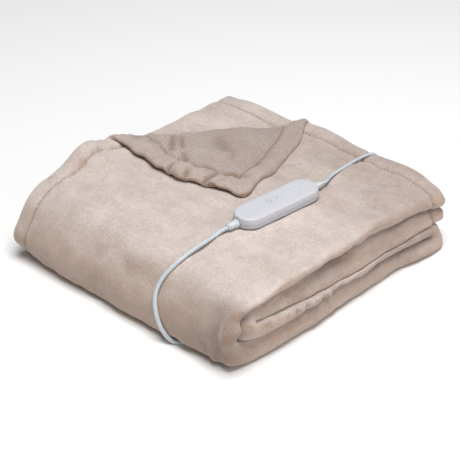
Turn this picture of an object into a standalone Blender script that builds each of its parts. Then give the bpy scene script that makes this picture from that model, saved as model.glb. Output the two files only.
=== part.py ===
"""An electric heated blanket, folded into twelve layers, with its hand controller, leads and plug.

Metres, +Z up. The folded blanket rests on z = 0 with its middle over the origin. The big outer
wrap of the folded cloth is at -X, its free ends are at +X, and its folded side edges show at -Y.
"""

import math

import bmesh
import bpy
from mathutils import Matrix, Vector

# Blanket: 1.30 m x 1.80 m of plush flannel, folded in three across and then in four along
CLOTH = 0.008  # thickness of the cloth with its pile
PITCH = 0.0092  # from one layer to the next
HEM = 0.028  # width of the turned hem
HALF_WIDTH = 0.226  # the folded blanket, along Y
WRAP_OUT_X = -0.2365  # outside of its big wrap before it settles
TOP_END_X = 0.2285  # end hem of the top run
UPPER_END_X = 0.2305  # end hem of the run that the top run covers
END_FOLD_OUT_X = 0.2335  # outside of the fold at the other end
OUTER_REACH = 1.5 * PITCH + PITCH + CLOTH / 2  # centre of a run's tight fold to its outside
RUN_STEP = 3 * PITCH  # one run is three layers
BOTTOM_RUN_Z = PITCH + CLOTH / 2
TOP_Z = BOTTOM_RUN_Z + 3 * RUN_STEP + PITCH + CLOTH / 2
WRAP_X = WRAP_OUT_X + 1.5 * RUN_STEP + BOTTOM_RUN_Z
NOSE_X = WRAP_X + 0.001
END_FOLD_X = END_FOLD_OUT_X - OUTER_REACH
NEAR_FOLD_Y = -HALF_WIDTH + PITCH + CLOTH / 2
FAR_FOLD_Y = HALF_WIDTH - 0.012 - PITCH / 2 - CLOTH / 2
INNER_HEM_Y = NEAR_FOLD_Y + 0.001  # the side hem tucked in between the other two layers

# The fold of the three-layer strip in X and Z, then that of the cloth in Y and its own depth
# bulge (-1 or +1 along the first axis, 0 for a flat run), start, end, level at each, side that
# the first layer's face is on (+1 up or outside), divisions
STRIP = (
    (0, TOP_END_X, WRAP_X, 3, 3, 1, 10),
    (-1, WRAP_X, WRAP_X, 3, 0, 1, 9),
    (0, WRAP_X, END_FOLD_X, 0, 0, -1, 8),
    (1, END_FOLD_X, END_FOLD_X, 0, 1, 1, 5),
    (0, END_FOLD_X, NOSE_X, 1, 1, 1, 7),
    (-1, NOSE_X, NOSE_X, 1, 2, -1, 5),
    (0, NOSE_X, UPPER_END_X, 2, 2, -1, 7),
)
ACROSS = (
    (0, HALF_WIDTH, NEAR_FOLD_Y, 1, 1, 1, 9),
    (-1, NEAR_FOLD_Y, NEAR_FOLD_Y, 1, -1, 1, 6),
    (0, NEAR_FOLD_Y, FAR_FOLD_Y, -1, -1, -1, 8),
    (1, FAR_FOLD_Y, FAR_FOLD_Y, -1, 0, 1, 4),
    (0, FAR_FOLD_Y, INNER_HEM_Y, 0, 0, 1, 9),
)

# The top layer's corner, turned back over itself along a line from one hem to the other
CORNER_ALONG = 0.274  # from the corner to the fold line, along the side hem
CORNER_ACROSS = 0.196  # and along the end hem
ROLL = 0.0062  # radius of the turn, at the middle of the cloth
CORNER_TIP = (-0.010, -0.044)  # where the corner lies on the top, X and Y
TIP_LIFT = 0.003

# Where the folded cloth stands proud or sinks: X, Y, reach in X and in Y, change at the top
SWELLS = (
    (0.238, -0.235, 0.060, 0.030, -0.008),
    (0.241, -0.080, 0.040, 0.070, -0.003),
    (-0.239, -0.150, 0.060, 0.110, -0.003),
    (-0.235, 0.235, 0.060, 0.050, -0.008),
    (-0.080, 0.235, 0.042, 0.050, 0.013),
    (0.226, 0.235, 0.070, 0.045, -0.008),
    (0.105, 0.105, 0.060, 0.050, 0.002),
    (-0.094, 0.150, 0.060, 0.050, 0.002),
    (0.010, -0.200, 0.120, 0.040, 0.002),
)
# How far each bundle of layers at -Y stands back: height, X, reach in height and in X, set-back
SETBACKS = (
    (0.082, 0.000, 0.010, 0.300, 0.006),
    (0.046, -0.060, 0.012, 0.120, 0.004),
    (0.018, 0.120, 0.012, 0.120, 0.002),
    (0.105, 0.235, 0.020, 0.022, 0.010),
    (0.010, -0.225, 0.026, 0.055, 0.015),
    (0.010, -0.080, 0.014, 0.090, 0.003),
)
LIP_RISE = (0.082, 0.030, 0.012, 0.130, 0.005)  # the top run's lip at -Y, as above, upwards

# The big wrap settles into a D: its foot goes out, its shoulder comes in
FOOT_OUT = 0.013
FOOT_Z = 0.006
FOOT_REACH = 0.014
SHOULDER_IN = 0.017
SHOULDER_Z = (0.030, 0.085)  # heights where that starts and is complete
WRAP_SETTLES_X = (-0.125, -0.215)  # and the same along X

# Hand controller, on top of the blanket
CASE_LENGTH = 0.150
CASE_WIDTH = 0.048
CASE_LOWER = 0.0075  # height of its lower half
CASE_UPPER = 0.0105
CASE_CENTRE = (0.000, -0.094)
CASE_TURN = math.radians(-6.2)
CASE_Z = TOP_Z + 0.0013
CASE_END_FLAT = 0.013  # width of the flat at each end, where a lead comes out
SEAT_GAP = 0.0003  # between pieces that touch
LIGHT_RADIUS = 0.0014
LIGHT_DEPTH = 0.0010
LIGHTS_X = (0.0242, 0.0342, 0.0442, 0.0542)  # along the case, from its middle
LIGHTS_Y = 0.0036
RELIEF_LENGTH = 0.018
BLOCK_RELIEF_LENGTH = 0.014

# Leads
MAINS_DIAMETER = 0.0063
MAINS_STEP = 2.4 * MAINS_DIAMETER
LEAD_DIAMETER = 0.0048
LEAD_STEP = 1.5 * LEAD_DIAMETER
FLOOR = MAINS_DIAMETER / 2 + 0.0001  # height of the mains lead's middle where it lies
LEAD_FLOOR = LEAD_DIAMETER / 2 + 0.0001

# The hollow under the blanket where it lies over the mains lead
GROOVE_MOUTH = (-0.222, -0.112)
GROOVE_START = (-0.190, -0.145)
GROOVE_END = (0.232, -0.020)
GROOVE_HEIGHT = 0.0088
GROOVE_HALF = 0.014
GROOVE_REACH = 0.030
GROOVE_FADE_Z = 0.085

# Coil of the mains lead's spare length, behind the blanket
COIL_CENTRE = (0.286, 0.060)
COIL_MIDDLE_RADIUS = 0.0347
COIL_TURNS_WIDE = 4
COIL_TURNS_HIGH = 2
COIL_HALF_WIDTH = COIL_TURNS_WIDE * MAINS_DIAMETER / 2
COIL_HEIGHT = COIL_TURNS_HIGH * MAINS_DIAMETER
COIL_OUTER = COIL_MIDDLE_RADIUS + COIL_HALF_WIDTH

# Mains plug, flat two-pin, on the end that leaves the coil
PLUG_WIDTH = 0.0350
PLUG_NECK = 0.0150
PLUG_LENGTH = 0.0360
PLUG_THICK = 0.0137
PLUG_SLEEVE = 0.0200
PIN_LENGTH = 0.0190
PIN_RADIUS = 0.0020
PIN_SPACING = 0.0190
PLUG_TURN = math.radians(30)
PLUG_PLACE = (0.3011, 0.1222, 0.0002)  # the middle of its back, where its sleeve starts

# Socket sewn to the blanket's end hem, where the controller's lead goes in
SOCKET_SIZE = (0.018, 0.026, 0.0110)
SOCKET_Y = -0.052
SOCKET_Z = BOTTOM_RUN_Z + 2 * RUN_STEP - 0.006
SOCKET_SLEEVE = 0.010


def on_case(along, across, height):
    """A place on the controller, from its middle and its underside, in the world."""
    turned = Matrix.Rotation(CASE_TURN, 3, "Z") @ Vector((along, across, height))
    return turned + Vector((*CASE_CENTRE, CASE_Z))


LEADS_Z = CASE_LOWER - 0.0002  # height of the leads' exits above the case's underside
STRAIGHT_OUT = 0.008  # how far a lead keeps its relief's direction
MAINS_OUT = -CASE_LENGTH / 2 - RELIEF_LENGTH - 2 * SEAT_GAP
LEAD_OUT = CASE_LENGTH / 2 + BLOCK_RELIEF_LENGTH + 2 * SEAT_GAP

# The mains lead runs off the controller, down the wrap, under the blanket and out behind it
MAINS_ROUTE = (
    tuple(on_case(MAINS_OUT, 0, LEADS_Z)),
    tuple(on_case(MAINS_OUT - STRAIGHT_OUT, 0, LEADS_Z)),
    (-0.1160, -0.0815, 0.1145),
    (-0.1383, -0.0820, 0.1137),
    (-0.1573, -0.0828, 0.1134),
    (-0.1736, -0.0835, 0.1122),
    (-0.1880, -0.0819, 0.1080),
    (-0.1998, -0.0784, 0.1005),
    (-0.2079, -0.0750, 0.0928),
    (-0.2156, -0.0727, 0.0838),
    (-0.2221, -0.0723, 0.0751),
    (-0.2275, -0.0739, 0.0668),
    (-0.2316, -0.0766, 0.0588),
    (-0.2347, -0.0804, 0.0515),
    (-0.2365, -0.0843, 0.0435),
    (-0.2365, -0.0875, 0.0345),
    (-0.2358, -0.0910, 0.0262),
    (-0.2344, -0.0950, 0.0190),
    (-0.2324, -0.1000, 0.0120),
    (-0.2288, -0.1065, 0.0058),
    (-0.2215, -0.1140, FLOOR),
    (-0.2140, -0.1225, FLOOR),
    (-0.2040, -0.1325, FLOOR),
    (-0.1900, -0.1412, FLOOR),
    (-0.1700, -0.1391, FLOOR),
    (-0.1000, -0.1183, FLOOR),
    (0.0000, -0.0887, FLOOR),
    (0.1000, -0.0591, FLOOR),
    (0.1800, -0.0354, FLOOR),
    (0.2300, -0.0206, FLOOR),
    (0.2480, -0.0148, FLOOR),
    (0.2650, -0.0080, FLOOR),
    (0.2810, 0.0005, FLOOR),
    (0.2952, 0.0101, FLOOR),
)
# The controller's lead runs over the end of the top run, to a bight on the floor and up to the socket
LEAD_ROUTE = (
    tuple(on_case(LEAD_OUT, 0, LEADS_Z)),
    tuple(on_case(LEAD_OUT + STRAIGHT_OUT, 0, LEADS_Z)),
    (0.1120, -0.0985, 0.1148),
    (0.1250, -0.0945, 0.1132),
    (0.1400, -0.0930, 0.1128),
    (0.1568, -0.0924, 0.1124),
    (0.1755, -0.0915, 0.1120),
    (0.1902, -0.0900, 0.1114),
    (0.2038, -0.0892, 0.1108),
    (0.2150, -0.0893, 0.1101),
    (0.2240, -0.0898, 0.1090),
    (0.2320, -0.0906, 0.1052),
    (0.2362, -0.0914, 0.0970),
    (0.2374, -0.0921, 0.0870),
    (0.2384, -0.0925, 0.0700),
    (0.2400, -0.0922, 0.0480),
    (0.2434, -0.0915, 0.0280),
    (0.2492, -0.0900, 0.0125),
    (0.2572, -0.0878, 0.0045),
    (0.2665, -0.0840, LEAD_FLOOR),
    (0.2752, -0.0780, LEAD_FLOOR),
    (0.2798, -0.0700, LEAD_FLOOR),
    (0.2802, -0.0612, 0.0042),
    (0.2790, -0.0552, 0.0120),
    (0.2777, -0.0526, 0.0240),
    (0.2770, -0.0520, 0.0380),
    (0.2763, -0.0520, 0.0510),
    (0.2733, -0.0520, 0.0590),
    (0.2665, -0.0520, 0.0623),
    (0.2597, -0.0520, 0.0624),
)


def fold_length(row):
    """How much cloth one row of STRIP or ACROSS takes."""
    bulge, start, end, level_a, level_b, _, _ = row
    if bulge:
        return math.pi * abs(level_b - level_a) * row_step(row) / 2
    return abs(end - start)


def row_step(row):
    return RUN_STEP if row in STRIP else PITCH


def folded(table, distance, depth):
    """Where a point of the cloth lies in one folding: its place along the first axis, its height
    from level 0, both moved by depth towards the first layer's face, and that face's direction."""
    rest = distance
    for row in table:
        length = fold_length(row)
        if rest <= length or row is table[-1]:
            break
        rest -= length
    bulge, start, end, level_a, level_b, face, _ = row
    step = row_step(row)
    if not bulge:
        place, height = start + math.copysign(rest, end - start), level_a * step
        normal = (0.0, float(face))
    else:
        radius = abs(level_b - level_a) * step / 2
        angle = rest / radius
        down = math.copysign(1, level_a - level_b)
        radial = (bulge * math.sin(angle), down * math.cos(angle))
        place = start + radius * radial[0]
        height = (level_a + level_b) / 2 * step + radius * radial[1]
        normal = (face * radial[0], face * radial[1])
    return place + depth * normal[0], height + depth * normal[1], normal


def stations(table):
    """Where the cloth's grid has its lines along one direction: at each fold's divisions, and at
    the hem's edge, middle and seam."""
    lines, total = [], 0.0
    for row in table:
        length = fold_length(row)
        lines += [total + length * i / row[-1] for i in range(row[-1])]
        total += length
    hem_lines = (0.0, 0.5 * HEM, HEM)
    inside = [d for d in lines if 1.4 * HEM < d < total - 1.4 * HEM]
    return [*hem_lines, *inside, *(total - d for d in reversed(hem_lines))]


STRIP_LENGTH = sum(fold_length(row) for row in STRIP)
ACROSS_LENGTH = sum(fold_length(row) for row in ACROSS)


def smooth(low, high, value):
    share = min(1.0, max(0.0, (value - low) / (high - low)))
    return share * share * (3 - 2 * share)


def bump(distance, reach):
    """1 in the middle, fading to 0 at about twice the reach."""
    return math.exp(-((distance / reach) ** 2))


def groove_y(x):
    """The middle of the hollow over the mains lead, at one X."""
    (x0, y0), (x1, y1) = GROOVE_START, GROOVE_END
    return y0 + (y1 - y0) * (max(x, x0) - x0) / (x1 - x0)


def beside_groove(x, y):
    """How far a place is from the middle of the hollow, seen from above."""
    nearest = 1.0
    for start, end in ((GROOVE_MOUTH, GROOVE_START), (GROOVE_START, GROOVE_END)):
        start, end, place = Vector(start), Vector(end), Vector((x, y))
        span = end - start
        share = min(1.0, max(0.0, (place - start).dot(span) / span.length_squared))
        nearest = min(nearest, (start + share * span - place).length)
    return nearest


def groove_line(s, t):
    """Moves a grid line that runs near the hollow so that it follows the hollow."""
    x, _, _ = folded(STRIP, s, 0.0)
    y, _, _ = folded(ACROSS, t, 0.0)
    base = GROOVE_START[1]
    if abs(y - base) <= GROOVE_HALF:
        share = 1.0
    elif y < base:
        share = smooth(NEAR_FOLD_Y, base - GROOVE_HALF, y)
    else:
        share = 1 - smooth(base + GROOVE_HALF, FAR_FOLD_Y - 0.03, y)
    travel = share * (groove_y(x) - base)
    ply = 0
    rest = t
    for ply, row in enumerate(ACROSS):
        if rest <= fold_length(row):
            break
        rest -= fold_length(row)
    if ACROSS[ply][0]:
        return t
    return t + math.copysign(travel, (ACROSS[ply][2] - ACROSS[ply][1]) * travel)


def across_stations():
    """The grid's lines across the cloth, with three along the hollow in each of the three layers."""
    lines = stations(ACROSS)
    start = 0.0
    wanted = []
    for row in ACROSS:
        length = fold_length(row)
        if not row[0]:
            towards = math.copysign(1, row[2] - row[1])
            middle = start + towards * (GROOVE_START[1] - row[1])
            wanted += [middle - GROOVE_HALF, middle, middle + GROOVE_HALF]
        start += length
    kept = [d for d in lines if all(abs(d - w) > GROOVE_HALF for w in wanted)]
    return sorted(kept + wanted)


# The corner's fold line on the flat cloth, with the corner at (0, 0)
FOLD_A = Vector((CORNER_ALONG, 0.0))
FOLD_B = Vector((0.0, CORNER_ACROSS))
FOLD_ALONG = (FOLD_B - FOLD_A).normalized()
FOLD_OUT = Vector((-CORNER_ACROSS, -CORNER_ALONG)).normalized()
CORNER_DEPTH = -FOLD_A.dot(FOLD_OUT)


def beyond_fold(s, t):
    """How far a point of the flat cloth lies past the corner's fold line."""
    return (Vector((s, t)) - FOLD_A).dot(FOLD_OUT)


def on_top(s, t):
    """Where a point of the top layer lies in X and Y before its corner is turned."""
    return Vector((TOP_END_X - s, HALF_WIDTH - t))


def turned_back(s, t, depth):
    """A point of the turned-back corner: round the roll, then flat over the top layer."""
    out = beyond_fold(s, t)
    foot = Vector((s, t)) - out * FOLD_OUT
    base = on_top(*foot)
    outward = -FOLD_OUT  # towards the corner, in X and Y
    turn = min(out / ROLL, math.pi)
    reach = ROLL * math.sin(turn) - depth * math.sin(turn)
    plan = base + reach * outward
    height = ROLL * (1 - math.cos(turn)) + depth * math.cos(turn)
    past = out - math.pi * ROLL
    if past > 0:
        corner_foot = on_top(*(-CORNER_DEPTH * FOLD_OUT))
        slide = (Vector(CORNER_TIP) - corner_foot) / (CORNER_DEPTH - math.pi * ROLL)
        plan += past * slide
        near_edge = bump(min(t, 0.6 * s + 0.02), 0.020)
        height += TIP_LIFT * near_edge * smooth(0.0, 0.03, past) - 0.0012 * smooth(0.0, 0.04, past)
    level = BOTTOM_RUN_Z + 3 * RUN_STEP + PITCH
    return Vector((plan.x, plan.y, level + height))


def laid(s, t, depth):
    """A point of the cloth, depth above its middle, once the blanket is folded."""
    if t < fold_length(ACROSS[0]) and s < fold_length(STRIP[0]) and beyond_fold(s, t) > 0:
        return turned_back(s, t, depth)
    y, w, _ = folded(ACROSS, t, depth)
    x, z, _ = folded(STRIP, s, w)
    return Vector((x, y, BOTTOM_RUN_Z + z))


def thickness(s, t):
    """The cloth's thickness as a share: thin at its very edge, full in the hem, pinched at the
    hem's seam."""
    edge = min(s, STRIP_LENGTH - s, t, ACROSS_LENGTH - t)
    if edge < 0.001:
        return 0.55
    if abs(edge - HEM) < 0.002:
        return 0.72
    return 1.0


def settled(point):
    """Lets the folded stack settle: swells, drooping ends, bundles set back at the side, and the
    hollow over the mains lead."""
    x, y, z = point
    share = z / TOP_Z
    for at_x, at_y, reach_x, reach_y, change in SWELLS:
        z += change * share * bump(x - at_x, reach_x) * bump(y - at_y, reach_y)
    side = 1 - smooth(-HALF_WIDTH + 0.005, -HALF_WIDTH + 0.07, y)
    for at_z, at_x, reach_z, reach_x, back in SETBACKS:
        y += back * side * bump(point.z - at_z, reach_z) * bump(x - at_x, reach_x)
    at_z, at_x, reach_z, reach_x, rise = LIP_RISE
    z += rise * side * bump(point.z - at_z, reach_z) * bump(x - at_x, reach_x)
    corner = bump(point.y + HALF_WIDTH, 0.030) * smooth(0.08, 0.10, point.z)
    x -= 0.008 * corner * smooth(0.17, TOP_END_X, x)
    near_wrap = 1 - smooth(WRAP_SETTLES_X[1], WRAP_SETTLES_X[0], point.x)
    foot = FOOT_OUT * bump(point.z - FOOT_Z, FOOT_REACH)
    x += near_wrap * (SHOULDER_IN * smooth(*SHOULDER_Z, point.z) - foot)
    lift = GROOVE_HEIGHT * (1 - smooth(0.002, GROOVE_REACH, beside_groove(x, point.y)))
    lift *= smooth(WRAP_OUT_X, WRAP_OUT_X + 0.016, x)
    z += lift * max(0.0, 1 - point.z / GROOVE_FADE_Z)
    return Vector((x, y, z))


def make_material(name, colour, roughness, metallic=0.0):
    material = bpy.data.materials.new(name)
    material.use_nodes = True
    shader = material.node_tree.nodes["Principled BSDF"]
    shader.inputs["Base Color"].default_value = (*colour, 1.0)
    shader.inputs["Roughness"].default_value = roughness
    shader.inputs["Metallic"].default_value = metallic
    material.diffuse_color = (*colour, 1.0)
    return material


def add_object(name, mesh, material, collection):
    obj = bpy.data.objects.new(name, mesh)
    mesh.materials.clear()
    mesh.materials.append(material)
    collection.objects.link(obj)
    return obj


def mesh_from(bm, name):
    mesh = bpy.data.meshes.new(name)
    bm.to_mesh(mesh)
    bm.free()
    return mesh


def evaluated_mesh(obj, name):
    """The object's mesh with its modifiers applied; the object itself is removed."""
    graph = bpy.context.evaluated_depsgraph_get()
    mesh = bpy.data.meshes.new_from_object(obj.evaluated_get(graph))
    mesh.name = name
    mesh.transform(obj.matrix_world)
    bpy.data.objects.remove(obj, do_unlink=True)
    return mesh


def flat_cloth():
    """The cut cloth laid flat, s along X and t along Y, with its grid lines where it will fold."""
    rows, columns = stations(STRIP), across_stations()
    bm = bmesh.new()
    bmesh.ops.create_grid(bm, x_segments=len(rows) - 1, y_segments=len(columns) - 1, size=1.0)
    for vert in bm.verts:
        s = rows[round((vert.co.x + 1) / 2 * (len(rows) - 1))]
        t = columns[round((vert.co.y + 1) / 2 * (len(columns) - 1))]
        vert.co = (s, groove_line(s, t), 0.0)
    for share in (0.0, 0.25, 0.5, 0.75, 1.0):
        cut = FOLD_A + share * math.pi * ROLL * FOLD_OUT
        near = [
            f for f in bm.faces
            if f.calc_center_median().x < 2 * CORNER_ALONG and f.calc_center_median().y < 2 * HALF_WIDTH
        ]
        geometry = near + list({part for f in near for part in (*f.edges, *f.verts)})
        bmesh.ops.bisect_plane(
            bm, geom=geometry, dist=1e-5, plane_co=(*cut, 0), plane_no=(*FOLD_OUT, 0)
        )
    cut_faces = [
        f for f in bm.faces if len(f.verts) != 4 or beyond_fold(*f.calc_center_median()[:2]) > 0
    ]
    bmesh.ops.triangulate(bm, faces=cut_faces)
    return mesh_from(bm, "cloth")


def make_blanket(collection, cloth):
    flat = bpy.data.objects.new("flat_cloth", flat_cloth())
    collection.objects.link(flat)
    thick = flat.modifiers.new("Thickness", "SOLIDIFY")
    thick.thickness = CLOTH
    thick.offset = 0.0
    mesh = evaluated_mesh(flat, "blanket")
    for vert in mesh.vertices:
        s, t, depth = vert.co
        vert.co = settled(laid(s, t, depth * thickness(s, t)))
    bm = bmesh.new()
    bm.from_mesh(mesh)
    bmesh.ops.recalc_face_normals(bm, faces=bm.faces)
    bm.to_mesh(mesh)
    bm.free()
    mesh.shade_smooth()
    return add_object("blanket", mesh, cloth, collection)


def stadium(length, width, end_flat, arc_steps):
    """Outline of a case: straight sides and round ends, each cut flat at its tip."""
    radius = width / 2
    tip = math.asin(end_flat / 2 / radius)
    points = []
    for side in (1, -1):
        for i in range(2 * arc_steps + 2):
            half, step = divmod(i, arc_steps + 1)
            sweep = (math.pi / 2 - tip) * step / arc_steps
            angle = math.pi / 2 - sweep if half == 0 else -tip - sweep
            reach = length / 2 - radius + radius * math.cos(angle)
            points.append((side * reach, side * radius * math.sin(angle)))
    return points


def plate(name, outline, thick, collection):
    """A flat outline raised to a plate, as an object with its welded mesh."""
    curve = bpy.data.curves.new(name, "CURVE")
    curve.dimensions = "2D"
    curve.fill_mode = "BOTH"
    curve.extrude = thick / 2
    spline = curve.splines.new("POLY")
    spline.points.add(len(outline) - 1)
    for point, (x, y) in zip(spline.points, outline):
        point.co = (x, y, 0, 1)
    spline.use_cyclic_u = True
    guide = bpy.data.objects.new(name + "_outline", curve)
    collection.objects.link(guide)
    bpy.context.view_layer.update()
    mesh = evaluated_mesh(guide, name)
    bm = bmesh.new()
    bm.from_mesh(mesh)
    bmesh.ops.remove_doubles(bm, verts=bm.verts, dist=1e-5)
    bmesh.ops.dissolve_limit(bm, angle_limit=math.radians(1), verts=bm.verts, edges=bm.edges)
    bmesh.ops.recalc_face_normals(bm, faces=bm.faces)
    bmesh.ops.translate(bm, verts=bm.verts, vec=(0, 0, thick / 2))
    bm.to_mesh(mesh)
    bm.free()
    return mesh


def round_edges(mesh, width, segments, pick):
    """Bevels the edges whose middles pick accepts."""
    bm = bmesh.new()
    bm.from_mesh(mesh)
    chosen = [e for e in bm.edges if pick((e.verts[0].co + e.verts[1].co) / 2)]
    bmesh.ops.bevel(
        bm, geom=chosen, offset=width, segments=segments, profile=0.5, affect="EDGES", clamp_overlap=True
    )
    bm.to_mesh(mesh)
    bm.free()


def place(obj, location, turn_z):
    obj.location = location
    obj.rotation_euler = (0, 0, turn_z)


def cut_with(obj, cutter):
    modifier = obj.modifiers.new("Cut", "BOOLEAN")
    modifier.operation = "DIFFERENCE"
    modifier.object = cutter


def make_controller(collection, cutters, plastic, light_plastic):
    outline = stadium(CASE_LENGTH, CASE_WIDTH, CASE_END_FLAT, 5)
    lower = plate("controller_lower", outline, CASE_LOWER - SEAT_GAP, collection)
    round_edges(lower, 0.0035, 2, lambda co: co.z < 1e-4)
    lower = add_object("controller_lower", lower, plastic, collection)
    place(lower, (*CASE_CENTRE, CASE_Z), CASE_TURN)
    upper = plate("controller_upper", outline, CASE_UPPER, collection)
    round_edges(upper, 0.0028, 3, lambda co: co.z > CASE_UPPER - 1e-4)
    upper = add_object("controller_upper", upper, plastic, collection)
    place(upper, (*CASE_CENTRE, CASE_Z + CASE_LOWER), CASE_TURN)
    for index, along in enumerate(LIGHTS_X, 1):
        top = on_case(along, LIGHTS_Y, CASE_LOWER + CASE_UPPER)
        wall = LIGHT_RADIUS + SEAT_GAP
        pocket = turned(f"light_pocket_{index}", ((wall, 0.002), (wall, -LIGHT_DEPTH - SEAT_GAP)), 10)
        pocket = add_object(f"light_pocket_{index}", pocket, plastic, cutters)
        pocket.location = top
        pocket.hide_render = True
        pocket.display_type = "WIRE"
        cut_with(upper, pocket)
        light = turned(f"level_light_{index}", ((LIGHT_RADIUS, 0.0), (LIGHT_RADIUS, -LIGHT_DEPTH)), 10)
        light = add_object(f"level_light_{index}", light, light_plastic, collection)
        light.location = top


def turned(name, profile, steps):
    """A mesh turned about Z from the (radius, height) points of its outer side, top to bottom."""
    mesh = bpy.data.meshes.new(name + "_profile")
    points = [(0.0, profile[0][1]), *profile, (0.0, profile[-1][1])]
    mesh.from_pydata([(r, 0, z) for r, z in points], [(i, i + 1) for i in range(len(points) - 1)], [])
    guide = bpy.data.objects.new(name + "_profile", mesh)
    bpy.context.scene.collection.objects.link(guide)
    screw = guide.modifiers.new("Turn", "SCREW")
    screw.steps = screw.render_steps = steps
    screw.use_merge_vertices = True
    screw.merge_threshold = 0.00001
    bpy.context.view_layer.update()
    return evaluated_mesh(guide, name)


def make_reliefs(collection, rubber):
    """The round sleeve on the mains side and the tapered block on the blanket side."""
    sleeve = turned(
        "mains_relief",
        (
            (0.0038, 0.0),
            (0.0047, -0.0006),
            (0.0047, -0.0020),
            (0.0042, -0.0026),
            (0.0048, -0.0032),
            (0.0053, -0.0145),
            (0.0063, -0.0150),
            (0.0063, -RELIEF_LENGTH + 0.0004),
            (0.0058, -RELIEF_LENGTH),
        ),
        14,
    )
    sleeve = add_object("mains_relief", sleeve, rubber, collection)
    root = on_case(-CASE_LENGTH / 2 - SEAT_GAP - RELIEF_LENGTH, 0, LEADS_Z)
    pointing = Matrix.Rotation(CASE_TURN, 4, "Z") @ Matrix.Rotation(-math.pi / 2, 4, "Y")
    sleeve.matrix_world = Matrix.Translation(root) @ pointing

    bm = bmesh.new()
    bmesh.ops.create_cube(bm, size=1.0)
    for vert in bm.verts:
        far = vert.co.x > 0
        wide, tall = (0.0072, 0.0066) if far else (0.0116, 0.0092)
        vert.co = (
            BLOCK_RELIEF_LENGTH if far else 0.0,
            math.copysign(wide / 2, vert.co.y),
            math.copysign(tall / 2, vert.co.z),
        )
    bmesh.ops.bevel(bm, geom=bm.edges, offset=0.0012, segments=2, profile=0.5, affect="EDGES")
    block = add_object("blanket_relief", mesh_from(bm, "blanket_relief"), rubber, collection)
    place(block, on_case(CASE_LENGTH / 2 + SEAT_GAP, 0, LEADS_Z), CASE_TURN)


def route_points(route, step):
    """Points about a step apart on a smooth curve through the route's points."""
    knots = [Vector(p) for p in route]
    knots = [2 * knots[0] - knots[1], *knots, 2 * knots[-1] - knots[-2]]
    fine = []
    for a, b, c, d in zip(knots, knots[1:], knots[2:], knots[3:]):
        spans = [max((q - p).length, 1e-6) ** 0.5 for p, q in ((a, b), (b, c), (c, d))]
        leave = ((b - a) / spans[0] - (c - a) / (spans[0] + spans[1]) + (c - b) / spans[1]) * spans[1]
        arrive = ((c - b) / spans[1] - (d - b) / (spans[1] + spans[2]) + (d - c) / spans[2]) * spans[1]
        for i in range(40):
            u = i / 40
            fine.append(
                (2 * u**3 - 3 * u**2 + 1) * b + (u**3 - 2 * u**2 + u) * leave
                + (3 * u**2 - 2 * u**3) * c + (u**3 - u**2) * arrive
            )
    fine.append(knots[-2])
    length = sum((q - p).length for p, q in zip(fine, fine[1:]))
    spacing = length / round(length / step)
    points, travelled = [fine[0]], 0.0
    for p, q in zip(fine, fine[1:]):
        piece = (q - p).length
        while travelled + piece >= spacing * len(points) - 1e-9 and len(points) < round(length / step):
            points.append(p.lerp(q, (spacing * len(points) - travelled) / piece))
        travelled += piece
    return [*points, fine[-1]]


def make_cord(name, route, diameter, step, sides, material, collection):
    curve = bpy.data.curves.new(name, "CURVE")
    curve.dimensions = "3D"
    curve.bevel_depth = diameter / 2
    curve.bevel_resolution = sides
    curve.use_fill_caps = True
    points = route_points(route, step)
    spline = curve.splines.new("POLY")
    spline.points.add(len(points) - 1)
    for target, point in zip(spline.points, points):
        target.co = (*point, 1)
    obj = bpy.data.objects.new(name, curve)
    curve.materials.append(material)
    collection.objects.link(obj)
    return obj


def make_coil(collection, material):
    """The outer shape of the wound spare length: a ring with rounded edges, resting on the floor."""
    edge = MAINS_DIAMETER * 0.35
    low, high = 0.0001, COIL_HEIGHT
    inner, outer = COIL_MIDDLE_RADIUS - COIL_HALF_WIDTH, COIL_OUTER
    profile = (
        (inner + edge, high), (outer - edge, high), (outer, high - edge), (outer, low + edge),
        (outer - edge, low), (inner + edge, low), (inner, low + edge), (inner, high - edge),
    )
    mesh = bpy.data.meshes.new("coil_profile")
    count = len(profile)
    mesh.from_pydata([(r, 0, z) for r, z in profile], [(i, (i + 1) % count) for i in range(count)], [])
    guide = bpy.data.objects.new("coil_profile", mesh)
    collection.objects.link(guide)
    screw = guide.modifiers.new("Turn", "SCREW")
    screw.steps = screw.render_steps = 28
    screw.use_merge_vertices = True
    screw.merge_threshold = 0.00001
    bpy.context.view_layer.update()
    mesh = evaluated_mesh(guide, "mains_coil")
    mesh.shade_smooth()
    coil = add_object("mains_coil", mesh, material, collection)
    coil.location = (*COIL_CENTRE, 0)


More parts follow.
